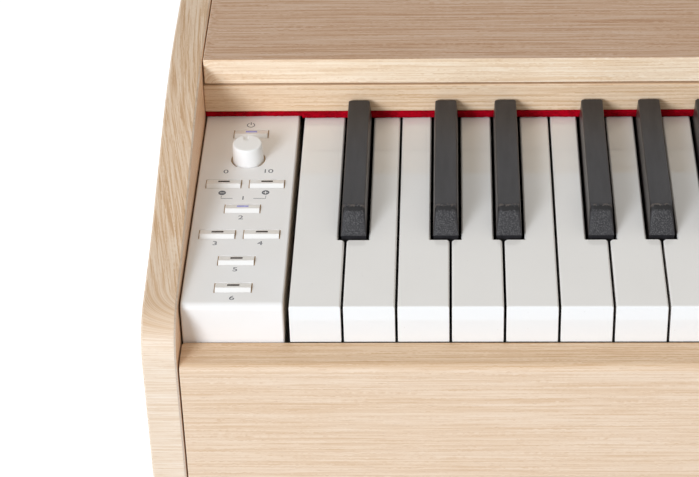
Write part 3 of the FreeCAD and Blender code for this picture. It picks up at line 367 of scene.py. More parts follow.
def moulded_white(name, tone, roughness, gap_top=None, painted_end_shade=False):
    """Satin white plastic. Below gap_top the walls of the gaps take painted warm shade.
    With painted_end_shade the faces turned forward are darkened a little (painted light) and the end faces
    take painted brown shade.
    """
    shader = Shader(name, Specular_IOR_Level=0.5)
    x, y, z = shader.parts(shader.place)
    facing = shader.parts(shader.facing)
    sideways = shader.math("ABSOLUTE", facing[0])
    cloud = shader.noise(shader.place, 24.0, 3.0)
    spark = shader.noise(shader.place, 2600.0, 1.0)
    warm = tuple(channel * share for channel, share in zip(tone, (0.975, 0.955, 0.93)))
    shade = shader.mix(shader.between(cloud, 0.3, 0.7), warm, tone)
    if painted_end_shade:
        # Faces turned forward are darkened a little, so the rear slope looks lighter: painted light
        rear = shader.between(facing[1], -0.10, 0.10)
        shade = shader.mix(rear, shader.mix(1.0, shade, (0.95, 0.945, 0.94), "MULTIPLY"), shade)
        # End faces tinted brown: painted shade
        shade = shader.mix(shader.between(sideways, 0.6, 0.9, 0.0, 0.75), shade, (0.44, 0.31, 0.19))
    if gap_top:
        # Painted warm shade on the gap walls below gap_top
        depth = shader.between(z, gap_top - 0.0002, gap_top - 0.0008)
        inside = shader.between(shader.math("ABSOLUTE", shader.minus(x, PANEL_X)), *FIELD_HALF)
        inside = shader.times(inside, shader.between(y, *FIELD_FRONT))
        hidden = shader.math("MAXIMUM", inside, shader.between(sideways, 0.7, 0.9))
        share = shader.times(shader.times(depth, hidden), shader.between(sideways, 0.2, 0.8, 0.5, 0.92))
        # Colour of the painted gap shade, lighter right of PANEL_RIGHT
        painted_wall = shader.mix(shader.between(x, *PANEL_RIGHT), (0.36, 0.21, 0.10), (0.80, 0.68, 0.55))
        shade = shader.mix(share, shade, painted_wall)
    shader.colour(shade)
    shader.roughness(shader.between(cloud, 0.3, 0.7, roughness - 0.04, roughness + 0.05))
    shader.bump(spark, 0.00003, 0.4)
    return shader.material


# Other materials

def felt(name, dark, light):
    shader = Shader(name, Specular_IOR_Level=0.04)
    fibres = shader.noise(shader.stretched(shader.place, (700.0, 1500.0, 1500.0)), 1.0, 4.0, 0.7)
    tufts = shader.noise(shader.place, 160.0, 3.0, 0.6)
    level = shader.times_plus(tufts, 0.45, shader.times(fibres, 0.55))
    shader.colour(shader.ramp(level, [(0.34, dark), (0.64, light)]))
    shader.roughness(shader.between(fibres, 0.3, 0.7, 0.85, 0.98))
    shader.bump(level, 0.0004, 0.8)
    return shader.material


def fibreboard(name, dark, light):
    shader = Shader(name, Specular_IOR_Level=0.3)
    chips = shader.noise(shader.stretched(shader.place, (260.0, 420.0, 420.0)), 1.0, 4.0, 0.7)
    cloud = shader.noise(shader.place, 9.0, 2.0)
    level = shader.times_plus(cloud, 0.4, shader.times(chips, 0.6))
    shader.colour(shader.ramp(level, [(0.34, dark), (0.66, light)]))
    shader.roughness(shader.between(chips, 0.3, 0.7, 0.62, 0.78))
    shader.bump(chips, 0.00015, 0.5)
    return shader.material


def metal(name, tone, roughness):
    shader = Shader(name, Metallic=1.0)
    brush = shader.noise(shader.stretched(shader.place, (30.0, 900.0, 900.0)), 1.0, 3.0, 0.6)
    dim = tuple(channel * 0.82 for channel in tone)
    shader.colour(shader.mix(shader.between(brush, 0.3, 0.7), dim, tone))
    shader.roughness(shader.between(brush, 0.3, 0.7, roughness - 0.08, roughness + 0.08))
    shader.bump(brush, 0.00003, 0.4)
    return shader.material


def dull(name, dark, light, roughness, grain):
    shader = Shader(name, Specular_IOR_Level=0.4)
    fine = shader.noise(shader.place, grain, 3.0, 0.6)
    shader.colour(shader.mix(shader.between(fine, 0.35, 0.65), dark, light))
    shader.roughness(shader.between(fine, 0.3, 0.7, roughness - 0.06, roughness + 0.06))
    shader.bump(fine, 0.00008, 0.35)
    return shader.material


def lit_slot():
    """The frosted window of a button with its lamp on."""
    shader = Shader("slot_lit", Roughness=0.4, Specular_IOR_Level=0.4)
    frost = shader.noise(shader.place, 700.0, 1.0)
    glow = shader.mix(shader.between(frost, 0.3, 0.7), (0.19, 0.19, 0.45), (0.28, 0.28, 0.58))
    shader.colour(shader.mix(0.5, glow, (0.05, 0.05, 0.08)))
    shader.feed(shader.surface.inputs["Emission Color"], glow)
    shader.surface.inputs["Emission Strength"].default_value = 0.55
    return shader.material


# Four copies of one oak foil. Their tones and lifts are partly the boards' own colour and partly painted
# light; their top shades are painted shade.
OAK_BOARD = oak("oak_foil_board", "X", (0.934, 0.869, 0.775), tone=(0.906, 0.872, 0.857),
                contrast=(0.66, 0.92), contour=0.006)
OAK_FALL = oak("oak_foil_fallboard", "X", (0.92, 0.88, 0.84), tone=(0.925, 0.853, 0.77),
               contrast=(0.9, 0.9))
OAK_LID = oak("oak_foil_lid", "X", (0.626, 0.515, 0.464), tone=(1.05, 1.024, 0.977),
              contrast=(0.93, 1.6), knot=(-0.6512, 0.1262), lift=0.03)
OAK_CHEEK = oak("oak_foil_cheek", "Y", (0.867, 0.783, 0.690), tone=(0.962, 0.982, 1.028),
                contrast=(0.85, 1.4), contour=0.004, lift=0.005)
MATERIALS = {
    "oak": OAK_BOARD,
    "board_dark": fibreboard("hardboard_brown", linear(92, 68, 48), linear(128, 98, 72)),
    "white_key": key_white(),
    "black_key": key_black(),
    "white_plastic": moulded_white("panel_white", (0.885, 0.865, 0.842), 0.36, gap_top=0.1075),
    "red_felt": felt("felt_red", (0.13, 0.0004, 0.0025), (0.50, 0.0014, 0.0130)),
    "grey_felt": felt("felt_grey", linear(90, 90, 92), linear(150, 150, 150)),
    "steel": metal("zinc_plated_steel", (0.62, 0.63, 0.64), 0.36),
    "brass": metal("brass_plain", (0.78, 0.60, 0.28), 0.30),
    "circuit_board": dull("board_green", (0.02, 0.13, 0.06), (0.03, 0.19, 0.09), 0.4, 90.0),
    "rubber": dull("rubber_black", (0.018, 0.018, 0.018), (0.035, 0.035, 0.035), 0.75, 500.0),
    "black_plastic": dull("socket_black", (0.018, 0.018, 0.019), (0.03, 0.03, 0.031), 0.4, 1200.0),
    "speaker_black": dull("basket_black", (0.02, 0.02, 0.021), (0.04, 0.04, 0.04), 0.5, 800.0),
}
BUTTON_WHITE = moulded_white("button_white", (0.96, 0.945, 0.915), 0.30, gap_top=0.1074, painted_end_shade=True)
KNOB_WHITE = moulded_white("knob_white", (0.90, 0.89, 0.868), 0.38)
MARK_GREY = dull("printed_grey", linear(92, 93, 98), linear(112, 113, 118), 0.6, 3000.0)
SLOT_DARK = dull("slot_dark", linear(38, 28, 21), linear(56, 43, 33), 0.55, 1500.0)
SLOT_LIT = lit_slot()
STEEL_DARK = metal("blackened_steel", (0.10, 0.092, 0.085), 0.5)
BOARD_BLACK = dull("board_black", (0.010, 0.009, 0.008), (0.020, 0.018, 0.016), 0.5, 90.0)
# Tan for the ledges in the gaps: painted shade
LEDGE_SHADE = dull("ledge_painted_shade", (0.50, 0.34, 0.19), (0.58, 0.41, 0.25), 0.6, 600.0)
BOARD_BROWN = dull("board_brown", (0.10, 0.06, 0.03), (0.15, 0.09, 0.045), 0.6, 90.0)

OWN_MATERIALS = {
    "top_board": OAK_LID, "fallboard": OAK_FALL,
    "side_panel_left": OAK_CHEEK, "side_panel_right": OAK_CHEEK,
    "key_chassis": STEEL_DARK, "contact_board": BOARD_BLACK, "panel_board": BOARD_BROWN,
}
BUTTONS = [name for name in sorted(nodes) if name.endswith("_button")]
OWN_MATERIALS.update((name, BUTTON_WHITE) for name in BUTTONS)
for name, slot_name in SLOTS.items():
    nodes[name].data.materials.clear()
    nodes[name].data.materials.append(OWN_MATERIALS.get(name, MATERIALS[slot_name]))


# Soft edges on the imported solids

WELD_GAP = 0.004 * MM
SOFT_ANGLE = 25.0


def weld_group():
    """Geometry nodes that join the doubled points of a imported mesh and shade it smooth."""
    group = bpy.data.node_groups.new("join_and_smooth", "GeometryNodeTree")
    group.interface.new_socket("Geometry", in_out="INPUT", socket_type="NodeSocketGeometry")
    group.interface.new_socket("Geometry", in_out="OUTPUT", socket_type="NodeSocketGeometry")
    start = group.nodes.new("NodeGroupInput")
    end = group.nodes.new("NodeGroupOutput")
    forget = group.nodes.new("GeometryNodeRemoveAttribute")
    forget.inputs["Name"].default_value = "custom_normal"
    join = group.nodes.new("GeometryNodeMergeByDistance")
    join.inputs["Distance"].default_value = WELD_GAP
    smooth = group.nodes.new("GeometryNodeSetShadeSmooth")
    chain = [start, forget, join, smooth, end]
    for first, second in zip(chain, chain[1:]):
        group.links.new(first.outputs[0], second.inputs[0])
    return group


WELD = weld_group()


def soften(name, radius, segments=2):
    """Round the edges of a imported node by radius, in millimetres."""
    node = nodes[name]
    join = node.modifiers.new("join", "NODES")
    join.node_group = WELD
    bevel = node.modifiers.new("soft_edges", "BEVEL")
    bevel.width = radius * MM
    bevel.segments = segments
    bevel.limit_method = "ANGLE"
    bevel.angle_limit = math.radians(SOFT_ANGLE)
    bevel.harden_normals = True
    bevel.miter_outer = "MITER_ARC"


for name in nodes:
    if SLOTS[name] == "white_key":
        soften(name, 0.3)
for name in BUTTONS:
    soften(name, 0.16)
for name in ("top_board", "fallboard", "bottom_board"):
    soften(name, 0.6, 3)
soften("key_slip", 0.4)
for name in ("side_panel_left", "side_panel_right"):
    soften(name, 0.35)
for name in ("control_panel", "right_end_block"):
    soften(name, 0.25)


# Meshes made here

def place_mesh(name, mesh, body):
    piece = bpy.data.objects.new(name, mesh)
    bpy.context.scene.collection.objects.link(piece)
    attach(piece, body)
    return piece


def new_piece(name, points, faces, material, body, smooth=True):
    mesh = bpy.data.meshes.new(name)
    mesh.from_pydata([tuple(point) for point in points], [], faces)
    mesh.validate()
    if smooth:
        mesh.shade_smooth()
    mesh.materials.append(material)
    return place_mesh(name, mesh, body)


def loft(sections, close_ends=True):
    """Points and faces of a tube through closed sections that have the same number of points."""
    count = len(sections[0])
    points = [point for section in sections for point in section]
    faces = []
    for level in range(len(sections) - 1):
        for step in range(count):
            after = (step + 1) % count
            first = level * count
            second = first + count
            faces.append((first + step, first + after, second + after, second + step))
    if close_ends:
        faces.append(tuple(range(count))[::-1])
        last = (len(sections) - 1) * count
        faces.append(tuple(range(last, last + count)))
    return points, faces


# Black keys with rounded shoulders and a sloping nose. Lengths in millimetres; cap heights from KEY_TOP

KEY_TOP = 107.0
BLACK_FRONT = -103.4
BLACK_REAR = -6.7
BLACK_TAIL = 63.0
BLACK_HALF = 5.7
BLACK_TOP_HALF = 5.1
BLACK_RISE = 11.4
BLACK_LIP = 1.3
NOSE_RUN = 9.4
REAR_RUN = 0.8
ARM_TOP = KEY_TOP - 1.2
ARM_BOTTOM = KEY_TOP - 19.2
PIVOT_Y = 51.0
NOTCH_HALF = 7.9
NOTCH_TOP = KEY_TOP - 12.0
CAP_FLOOR = 0.95
CAP_OVERHANG = 1.0
REAR_CUT = 0.8
REAR_CUT_RUN = 1.6


def cap_section(centre, y, height, shoulder):
    """The outline across a black key at one place along it. Its top corners are cut at the rear."""
    share = max(0.0, (height - BLACK_LIP) / (BLACK_RISE - BLACK_LIP))
    half = BLACK_HALF - (BLACK_HALF - BLACK_TOP_HALF) * share
    half -= REAR_CUT * min(max((y - BLACK_REAR + REAR_CUT_RUN) / REAR_CUT_RUN, 0.0), 1.0)
    shoulder = min(shoulder, max(height - BLACK_LIP, 0.05), half * 0.8)
    lip = min(BLACK_LIP, height - 0.02)
    outline = [(-BLACK_HALF + 0.12, CAP_FLOOR - 0.05), (-BLACK_HALF, CAP_FLOOR + 0.08), (-BLACK_HALF, lip)]
    for step in range(7):
        turn = math.pi / 2 * step / 6
        outline.append((-half + shoulder * (1 - math.cos(turn)), height - shoulder * (1 - math.sin(turn))))
    crown = [(x, height) for x in (-half * 0.4, 0.0, half * 0.4)]
    right = [(-x, z) for x, z in reversed(outline)]
    return [Vector(((centre + x) * MM, y * MM, (KEY_TOP + z) * MM)) for x, z in outline + crown + right]


def black_cap(centre):
    """The visible cap of a black key. Each station is a run from the front, a height and a shoulder."""
    rise = BLACK_RISE - BLACK_LIP
    stations = [(0.0, CAP_FLOOR + 0.12, 0.1), (0.0, BLACK_LIP, 0.2), (0.30, BLACK_LIP + 0.34, 0.5)]
    for share in (0.12, 0.25, 0.4, 0.55, 0.7, 0.82, 0.90):
        stations.append((NOSE_RUN * share, BLACK_LIP + rise * share, 0.5 + 2.0 * share))
    stations += [
        (NOSE_RUN * 0.955, BLACK_LIP + rise * 0.95, 2.3),
        (NOSE_RUN + 0.10, BLACK_RISE - 0.20, 2.0),
        (NOSE_RUN + 0.75, BLACK_RISE - 0.02, 1.5),
        (NOSE_RUN + 1.6, BLACK_RISE, 1.0),
        (NOSE_RUN + 3.2, BLACK_RISE, 0.7),
    ]
    length = BLACK_REAR - BLACK_FRONT
    for share in (0.3, 0.5, 0.7, 0.9):
        stations.append((length * share, BLACK_RISE, 0.65))
    stations += [
        (length - REAR_RUN - 1.2, BLACK_RISE, 0.75),
        (length - REAR_CUT_RUN, BLACK_RISE, 0.80),
        (length - REAR_RUN - 0.35, BLACK_RISE - 0.04, 1.2),
        (length - REAR_RUN, BLACK_RISE - 0.28, 1.5),
        (length - 0.15, BLACK_LIP + 1.0, 0.6),
        (length, CAP_FLOOR + 0.4, 0.2),
    ]
    return loft([
        cap_section(centre, BLACK_FRONT + run, height, shoulder) for run, height, shoulder in stations
    ])


def black_arm(centre):
    """The stick under the cap, with the notch that sits on the ridge of the chassis."""
    front = BLACK_FRONT + CAP_OVERHANG
    rear = BLACK_REAR - 0.4
    top = KEY_TOP + CAP_FLOOR + 0.1
    side = [
        (front, top), (front, ARM_BOTTOM), (PIVOT_Y - NOTCH_HALF, ARM_BOTTOM), (PIVOT_Y, NOTCH_TOP),
        (PIVOT_Y + NOTCH_HALF, ARM_BOTTOM), (BLACK_TAIL, ARM_BOTTOM), (BLACK_TAIL, ARM_TOP),
        (rear, ARM_TOP), (rear, top),
    ]
    half = BLACK_HALF - 0.15
    return loft([
        [Vector(((centre + x) * MM, y * MM, z * MM)) for y, z in side] for x in (-half, half)
    ])


def join_shapes(shapes):
    points, faces = [], []
    for more_points, more_faces in shapes:
        start = len(points)
        points += more_points
        faces += [tuple(start + index for index in face) for face in more_faces]
    return points, faces


def split_solids(name):
    """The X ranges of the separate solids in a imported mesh, in millimetres."""
    mesh = bmesh.new()
    mesh.from_mesh(nodes[name].data)
    bmesh.ops.remove_doubles(mesh, verts=mesh.verts, dist=WELD_GAP)
    seen = set()
    ranges = []
    for vert in mesh.verts:
        if vert in seen:
            continue
        island = {vert}
        waiting = [vert]
        while waiting:
            here = waiting.pop()
            for edge in here.link_edges:
                other = edge.other_vert(here)
                if other not in island:
                    island.add(other)
                    waiting.append(other)
        seen |= island
        xs = [each.co.x / MM for each in island]
        ranges.append((min(xs), max(xs)))
    mesh.free()
    return sorted(ranges)


def black_piece(name):
    """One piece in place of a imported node, with a cap and an arm for each key in it."""
    shapes = []
    for low, high in split_solids(name):
        centre = (low + high) / 2
        shapes += [black_cap(centre), black_arm(centre)]
    points, faces = join_shapes(shapes)
    piece = new_piece(name + "_shaped", points, faces, MATERIALS["black_key"], name)
    piece.data.set_sharp_from_angle(angle=math.radians(38))
    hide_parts(name)


for name in sorted(nodes):
    if SLOTS[name] == "black_key":
        black_piece(name)


# The two felts, with a loose fibrous face. Rows are places back and up, and how loose the cloth is there

FELT_TOP = 3.4
FELT_BACK = 4.0
FELT_MIDDLE = 1.5
FELT_STEPS = 1600
FLAT_FACE = 1.0
FELT_ROWS = [
    (2.5, 0.02, 0.0), (0.5, 0.05, 0.5), (-0.12, 0.12, 0.8), (-0.34, 0.45, 1.0), (-0.40, 1.1, 1.0),
    (-0.38, 1.9, 1.0), (-0.22, 2.7, 0.8), (0.0, 3.2, 0.4), (0.35, 3.38, 0.0), (FELT_BACK, 3.38, 0.0),
    (FELT_BACK, 0.02, 0.0),
]


def felt_piece(name, slot_name, fuzz, reach=None, droop=0.0):
    """A felt strip with an uneven face. Within reach of the middle its front edge bulges and hangs lower."""
    low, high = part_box(name)
    sections = []
    for step in range(FELT_STEPS + 1):
        x = low.x + (high.x - low.x) * step / FELT_STEPS
        inside = reach is None or abs(x) < reach * MM
        drop = droop * MM if inside else 0.0
        section = []
        for index, (across, up, loose) in enumerate(FELT_ROWS):
            wave = math.sin(x * 1900 + index * 2.1) * 0.4 + math.sin(x * 5300 + index * 1.3) * 0.35
            wave += math.sin(x * 410 + index) * 0.6 + math.sin(x * 9100 + index * 0.7) * 0.3
            push = fuzz * MM * loose * wave
            near = across if inside else FLAT_FACE + max(across, 0.0) * 0.5
            y = low.y + near * MM if across < FELT_BACK else high.y
            z = low.z + up * MM if up < FELT_MIDDLE else high.z + (up - FELT_TOP) * MM
            fall = drop * max(0.0, 1 - up / FELT_MIDDLE) if loose else 0.0
            section.append(Vector((x, y + push * 0.6, z + push * 0.4 - fall)))
        sections.append(section)
    points, faces = loft(sections)
    piece = new_piece(name + "_cloth", points, faces, MATERIALS[slot_name], "case")
    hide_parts(name)


felt_piece("felt_strip", "red_felt", 0.13, reach=612.0, droop=0.42)
felt_piece("stop_felt", "grey_felt", 0.2)


# Volume knob, turned, with a soft pointer notch

KNOB_X = -635.25
KNOB_Y = -41.3
PANEL_TOP = 107.5
KNOB_BASE = 7.35
KNOB_TOP = 6.9
KNOB_RISE = 9.2
KNOB_SINK = 1.2
KNOB_ROUND = 0.8
KNOB_SIDES = 200
KNOB_RINGS = 36
BORE_RADIUS = 3.1
BORE_RISE = 6.7
POINTER_TURN = math.radians(11.5)
POINTER_HALF = 1.25
POINTER_START = 2.4
POINTER_DEPTH = 1.1
POINTER_REACH = 2.6


def knob_point(x, y, z):
    """A point given from the knob's axis and the panel's top, in millimetres."""
    return Vector(((KNOB_X + x) * MM, (KNOB_Y + y) * MM, (PANEL_TOP + z) * MM))


def round_knob(radius, turn, z):
    return knob_point(radius * math.cos(turn), radius * math.sin(turn), z)


def limited(value):
    return max(0.0, min(1.0, value))


def knob_profile():
    """Radius and height from the bottom edge up to the middle of the crown."""
    profile = [(BORE_RADIUS, -KNOB_SINK), (KNOB_BASE - 0.2, -KNOB_SINK), (KNOB_BASE, -KNOB_SINK + 0.2)]
    for share in (0.25, 0.5, 0.75, 1.0):
        z = -KNOB_SINK + 0.2 + (KNOB_RISE - KNOB_ROUND + KNOB_SINK - 0.2) * share
        profile.append((KNOB_BASE - (KNOB_BASE - KNOB_TOP) * share, z))
    for step in range(1, 7):
        turn = math.pi / 2 * step / 6
        profile.append((KNOB_TOP - KNOB_ROUND * (1 - math.cos(turn)),
                        KNOB_RISE - KNOB_ROUND * (1 - math.sin(turn))))
    rim = KNOB_TOP - KNOB_ROUND
    return profile + [(rim * (1 - step / KNOB_RINGS), KNOB_RISE) for step in range(1, KNOB_RINGS)]


def knob():
    profile = knob_profile()
    turns = [2 * math.pi * step / KNOB_SIDES for step in range(KNOB_SIDES)]
    points = []
    for radius, z in profile:
        deep = limited((z - (KNOB_RISE - POINTER_REACH)) / 2.0)
        for turn in turns:
            x, y = radius * math.cos(turn), radius * math.sin(turn)
            along = x * -math.sin(POINTER_TURN) + y * math.cos(POINTER_TURN)
            aside = abs(x * math.cos(POINTER_TURN) + y * math.sin(POINTER_TURN))
            dip = limited((POINTER_HALF - aside) / 0.25) * limited((along - POINTER_START) / 0.4)
            points.append(knob_point(x, y, z - POINTER_DEPTH * dip * deep))
    faces = []
    for level in range(len(profile) - 1):
        for step in range(KNOB_SIDES):
            after = (step + 1) % KNOB_SIDES
            first = level * KNOB_SIDES
            second = first + KNOB_SIDES
            faces.append((first + step, first + after, second + after, second + step))
    last = (len(profile) - 1) * KNOB_SIDES
    points.append(knob_point(0.0, 0.0, KNOB_RISE))
    for step in range(KNOB_SIDES):
        faces.append((last + step, last + (step + 1) % KNOB_SIDES, len(points) - 1))
    bore = len(points)
    points += [round_knob(BORE_RADIUS, turn, z) for z in (-KNOB_SINK, BORE_RISE) for turn in turns]
    top = bore + KNOB_SIDES
    for step in range(KNOB_SIDES):
        after = (step + 1) % KNOB_SIDES
        faces.append((bore + after, bore + step, top + step, top + after))
    faces.append(tuple(top + step for step in range(KNOB_SIDES)))
    piece = new_piece("volume_knob_turned", points, faces, KNOB_WHITE, "volume_control")
    mesh = bmesh.new()
    mesh.from_mesh(piece.data)
    bmesh.ops.remove_doubles(mesh, verts=mesh.verts, dist=0.002 * MM)
    bmesh.ops.recalc_face_normals(mesh, faces=mesh.faces)
    mesh.to_mesh(piece.data)
    mesh.free()
    piece.data.shade_smooth()
    piece.data.set_sharp_from_angle(angle=math.radians(50))
    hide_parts("volume_knob")


knob()


# The moulding round the knob: a raised lip in front of it, and in its well a shallow tan ledge that shows
# painted shade

WELL_INNER = 7.42
WELL_OUTER = 8.07
WELL_DEPTH = 0.45
WELL_RISE = 0.4
WELL_STEPS = 96
LIP_OUTER = 8.7
LIP_DEPTH = 0.9
LIP_SINK = 0.03
LIP_REACH = 40
LIP_STEPS = 32
LIP_FADE = 5


def knob_lip():
    sections = []
    for step in range(LIP_STEPS + 1):
        turn = math.radians(270 - LIP_REACH + 2 * LIP_REACH * step / LIP_STEPS)
        fade = min(1.0, min(step, LIP_STEPS - step) / LIP_FADE)
        inner = WELL_INNER + 0.05
        outer = inner + (LIP_OUTER - WELL_INNER) * fade
        sections.append([
            round_knob(radius, turn, z)
            for radius, z in ((WELL_INNER, -LIP_DEPTH), (WELL_INNER, -0.12), (inner, -LIP_SINK),
                              (outer, -LIP_SINK), (outer, -LIP_DEPTH))
        ])
    points, faces = loft(sections)
    new_piece("knob_lip", points, faces, MATERIALS["white_plastic"], "case", smooth=False)


def knob_ledge():
    low = -WELL_DEPTH - WELL_RISE
    outline = ((WELL_INNER, low), (WELL_INNER, -WELL_DEPTH), (WELL_OUTER, -WELL_DEPTH), (WELL_OUTER, low))
    sections = [
        [round_knob(radius, 2 * math.pi * step / WELL_STEPS, z) for radius, z in outline]
        for step in range(WELL_STEPS + 1)
    ]
    points, faces = loft(sections, close_ends=False)
    new_piece("knob_ledge", points, faces, LEDGE_SHADE, "case", smooth=False)


knob_lip()
knob_ledge()


# Thin oak lipping behind the front board

LIPPING_HALF = 657.0
LIPPING_STEPS = 120


def slip_lipping():
    low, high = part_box("key_slip")
    sections = []
    for step in range(LIPPING_STEPS + 1):
        x = -LIPPING_HALF + 2 * LIPPING_HALF * step / LIPPING_STEPS
        sections.append([
            Vector((x * MM, high.y + across * MM, high.z - drop * MM))
            for across, drop in ((-0.05, 9.0), (-0.05, 0.10), (0.85, 0.10), (1.0, 0.25), (1.0, 9.0))
        ])
    points, faces = loft(sections)
    new_piece("slip_lipping", points, faces, OAK_BOARD, "case", smooth=False)


slip_lipping()


# Windows in the buttons

def slab(centre, size, tilt):
    """Points and faces of a block with its top edges drawn in, which falls to the back by tilt."""
    half = Vector(size) / 2
    inset = min(half.x, half.y) * 0.10
    sections = []
    for z, draw in ((-half.z, 0.0), (half.z * 0.4, 0.0), (half.z, inset)):
        section = []
        for x, y in ((-1, -1), (1, -1), (1, 1), (-1, 1)):
            spot = Vector((x * (half.x - draw), y * (half.y - draw), z))
            spot.z -= spot.y * tilt
            section.append(Vector(centre) + spot)
        sections.append(section)
    return loft(sections)


LENS_SIZE = (5.3 * MM, 1.22 * MM, 0.30 * MM)
LENS_RISE = 108.02 * MM
LENS_BACK = 1.05 * MM
CAP_FALL = 0.10
LIT_BUTTONS = ("power_button", "voice_button")
for name in BUTTONS:
    low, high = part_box(name)
    centre = Vector(((low.x + high.x) / 2, (low.y + high.y) / 2 + LENS_BACK, LENS_RISE))
    points, faces = slab(centre, LENS_SIZE, CAP_FALL)
    material = SLOT_LIT if name in LIT_BUTTONS else SLOT_DARK
    window = name.replace("_button", "_window")
    new_piece(window, points, faces, material, name, smooth=False)


# Shallow tan ledges in the gaps round the buttons, which show painted shade, from the cap's half sizes and
# the gaps round it

CAP_HALF_X = 7.9
CAP_HALF_Y = 3.4
END_GAP = 0.49
FRONT_GAP = 0.29
REAR_GAP = 0.14
LEDGE_DEPTH = 0.30
LEDGE_RISE = 0.4
LEDGE_SLIP = 0.04


def button_ledge(name):
    low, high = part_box(name)
    middle = (low + high) / 2
    top = (PANEL_TOP - LEDGE_DEPTH) * MM
    bottom = top - LEDGE_RISE * MM
    inner = (CAP_HALF_X + LEDGE_SLIP, CAP_HALF_Y + LEDGE_SLIP, CAP_HALF_Y + LEDGE_SLIP)
    outer = (CAP_HALF_X + END_GAP, CAP_HALF_Y + FRONT_GAP, CAP_HALF_Y + REAR_GAP)
    outline = ((outer, bottom), (outer, top), (inner, top), (inner, bottom), (outer, bottom))
    sections = []
    for (half, front, rear), z in outline:
        sections.append([
            Vector((middle.x + x * MM, middle.y + y * MM, z))
            for x, y in ((-half, -front), (half, -front), (half, rear), (-half, rear))
        ])
    points, faces = loft(sections, close_ends=False)
    ledge = name.replace("_button", "_ledge")
    new_piece(ledge, points, faces, LEDGE_SHADE, "case", smooth=False)


for name in BUTTONS:
    button_ledge(name)


# Printed marks: plain signs and numbers

MARK_RISE = 0.03
LINE_WIDTH = 0.4
THIN_LINE = 0.28
DISC_RADIUS = 1.75
DISC_STEPS = 40
NUMBER_HEIGHT = 3.0
NUMBER_WIDEN = 1.25
TEXT_SCALE = 1.38


def line_mark(name, strokes):
    points, faces = join_shapes(strokes)
    new_piece(name, points, faces, MARK_GREY, "case", smooth=False)


def stroke(path, width):
    """A flat line of even width through points on the panel, in millimetres."""
    sections = []
    for index, (x, y) in enumerate(path):
        before = path[max(index - 1, 0)]
        after = path[min(index + 1, len(path) - 1)]
        direction = Vector((after[0] - before[0], after[1] - before[1])).normalized()
        side = Vector((-direction.y, direction.x)) * width / 2
        sections.append([
            Vector(((x + side.x * sign) * MM, (y + side.y * sign) * MM, (PANEL_TOP + rise) * MM))
            for sign, rise in ((1, 0.0), (1, MARK_RISE), (-1, MARK_RISE), (-1, 0.0))
        ])
    return loft(sections)


def arc(centre, radius, start, end, steps=28):
    turns = [math.radians(start + (end - start) * step / steps) for step in range(steps + 1)]
    return [(centre[0] + radius * math.cos(turn), centre[1] + radius * math.sin(turn)) for turn in turns]


def number_mark(name, text, x, y):
    curve = bpy.data.curves.new(name + "_text", "FONT")
    curve.body = text
    curve.align_x = "CENTER"
    curve.align_y = "CENTER"
    curve.size = NUMBER_HEIGHT * TEXT_SCALE * MM
    curve.extrude = MARK_RISE / 2 * MM
    holder = bpy.data.objects.new(name + "_text", curve)
    bpy.context.scene.collection.objects.link(holder)
    bpy.context.view_layer.update()
    mesh = bpy.data.meshes.new_from_object(holder)
    bpy.data.objects.remove(holder)
    place = Matrix.Translation((x * MM, y * MM, (PANEL_TOP + MARK_RISE / 2) * MM))
    mesh.transform(place @ Matrix.Diagonal((NUMBER_WIDEN, 1.0, 1.0, 1.0)))
    mesh.materials.clear()
    mesh.materials.append(MARK_GREY)
    place_mesh(name, mesh, "case")


def disc_mark(name, x, y, plus):
    """A dark disc with a bare minus or plus in it."""
    arm, bar = DISC_RADIUS * 0.62, DISC_RADIUS * 0.13
    sign = [(arm, bar), (-arm, bar), (-arm, -bar), (arm, -bar)]
    if plus:
        sign = [(arm, bar), (bar, bar), (bar, arm), (-bar, arm), (-bar, bar), (-arm, bar), (-arm, -bar),
                (-bar, -bar), (-bar, -arm), (bar, -arm), (bar, -bar), (arm, -bar)]
    turns = [2 * math.pi * step / DISC_STEPS for step in range(DISC_STEPS)]
    rim = [(DISC_RADIUS * math.cos(turn), DISC_RADIUS * math.sin(turn)) for turn in turns]
    mesh = bmesh.new()
    edges = []
    top = (PANEL_TOP + MARK_RISE) * MM
    for outline in (rim, sign):
        corners = [mesh.verts.new(((x + dx) * MM, (y + dy) * MM, top)) for dx, dy in outline]
        edges += [mesh.edges.new(pair) for pair in zip(corners, corners[1:] + corners[:1])]
    bmesh.ops.triangle_fill(mesh, edges=edges, use_beauty=True)
    for face in list(mesh.faces):
        centre = face.calc_center_median() / MM
        aside, along = abs(centre.x - x), abs(centre.y - y)
        if (aside < arm and along < bar) or (plus and aside < bar and along < arm):
            mesh.faces.remove(face)
    walls = bmesh.ops.extrude_face_region(mesh, geom=list(mesh.faces))
    for vert in [part for part in walls["geom"] if isinstance(part, bmesh.types.BMVert)]:
        vert.co.z = PANEL_TOP * MM
    bmesh.ops.recalc_face_normals(mesh, faces=mesh.faces)
    data = bpy.data.meshes.new(name)
    mesh.to_mesh(data)
    mesh.free()
    data.materials.append(MARK_GREY)
    place_mesh(name, data, "case")


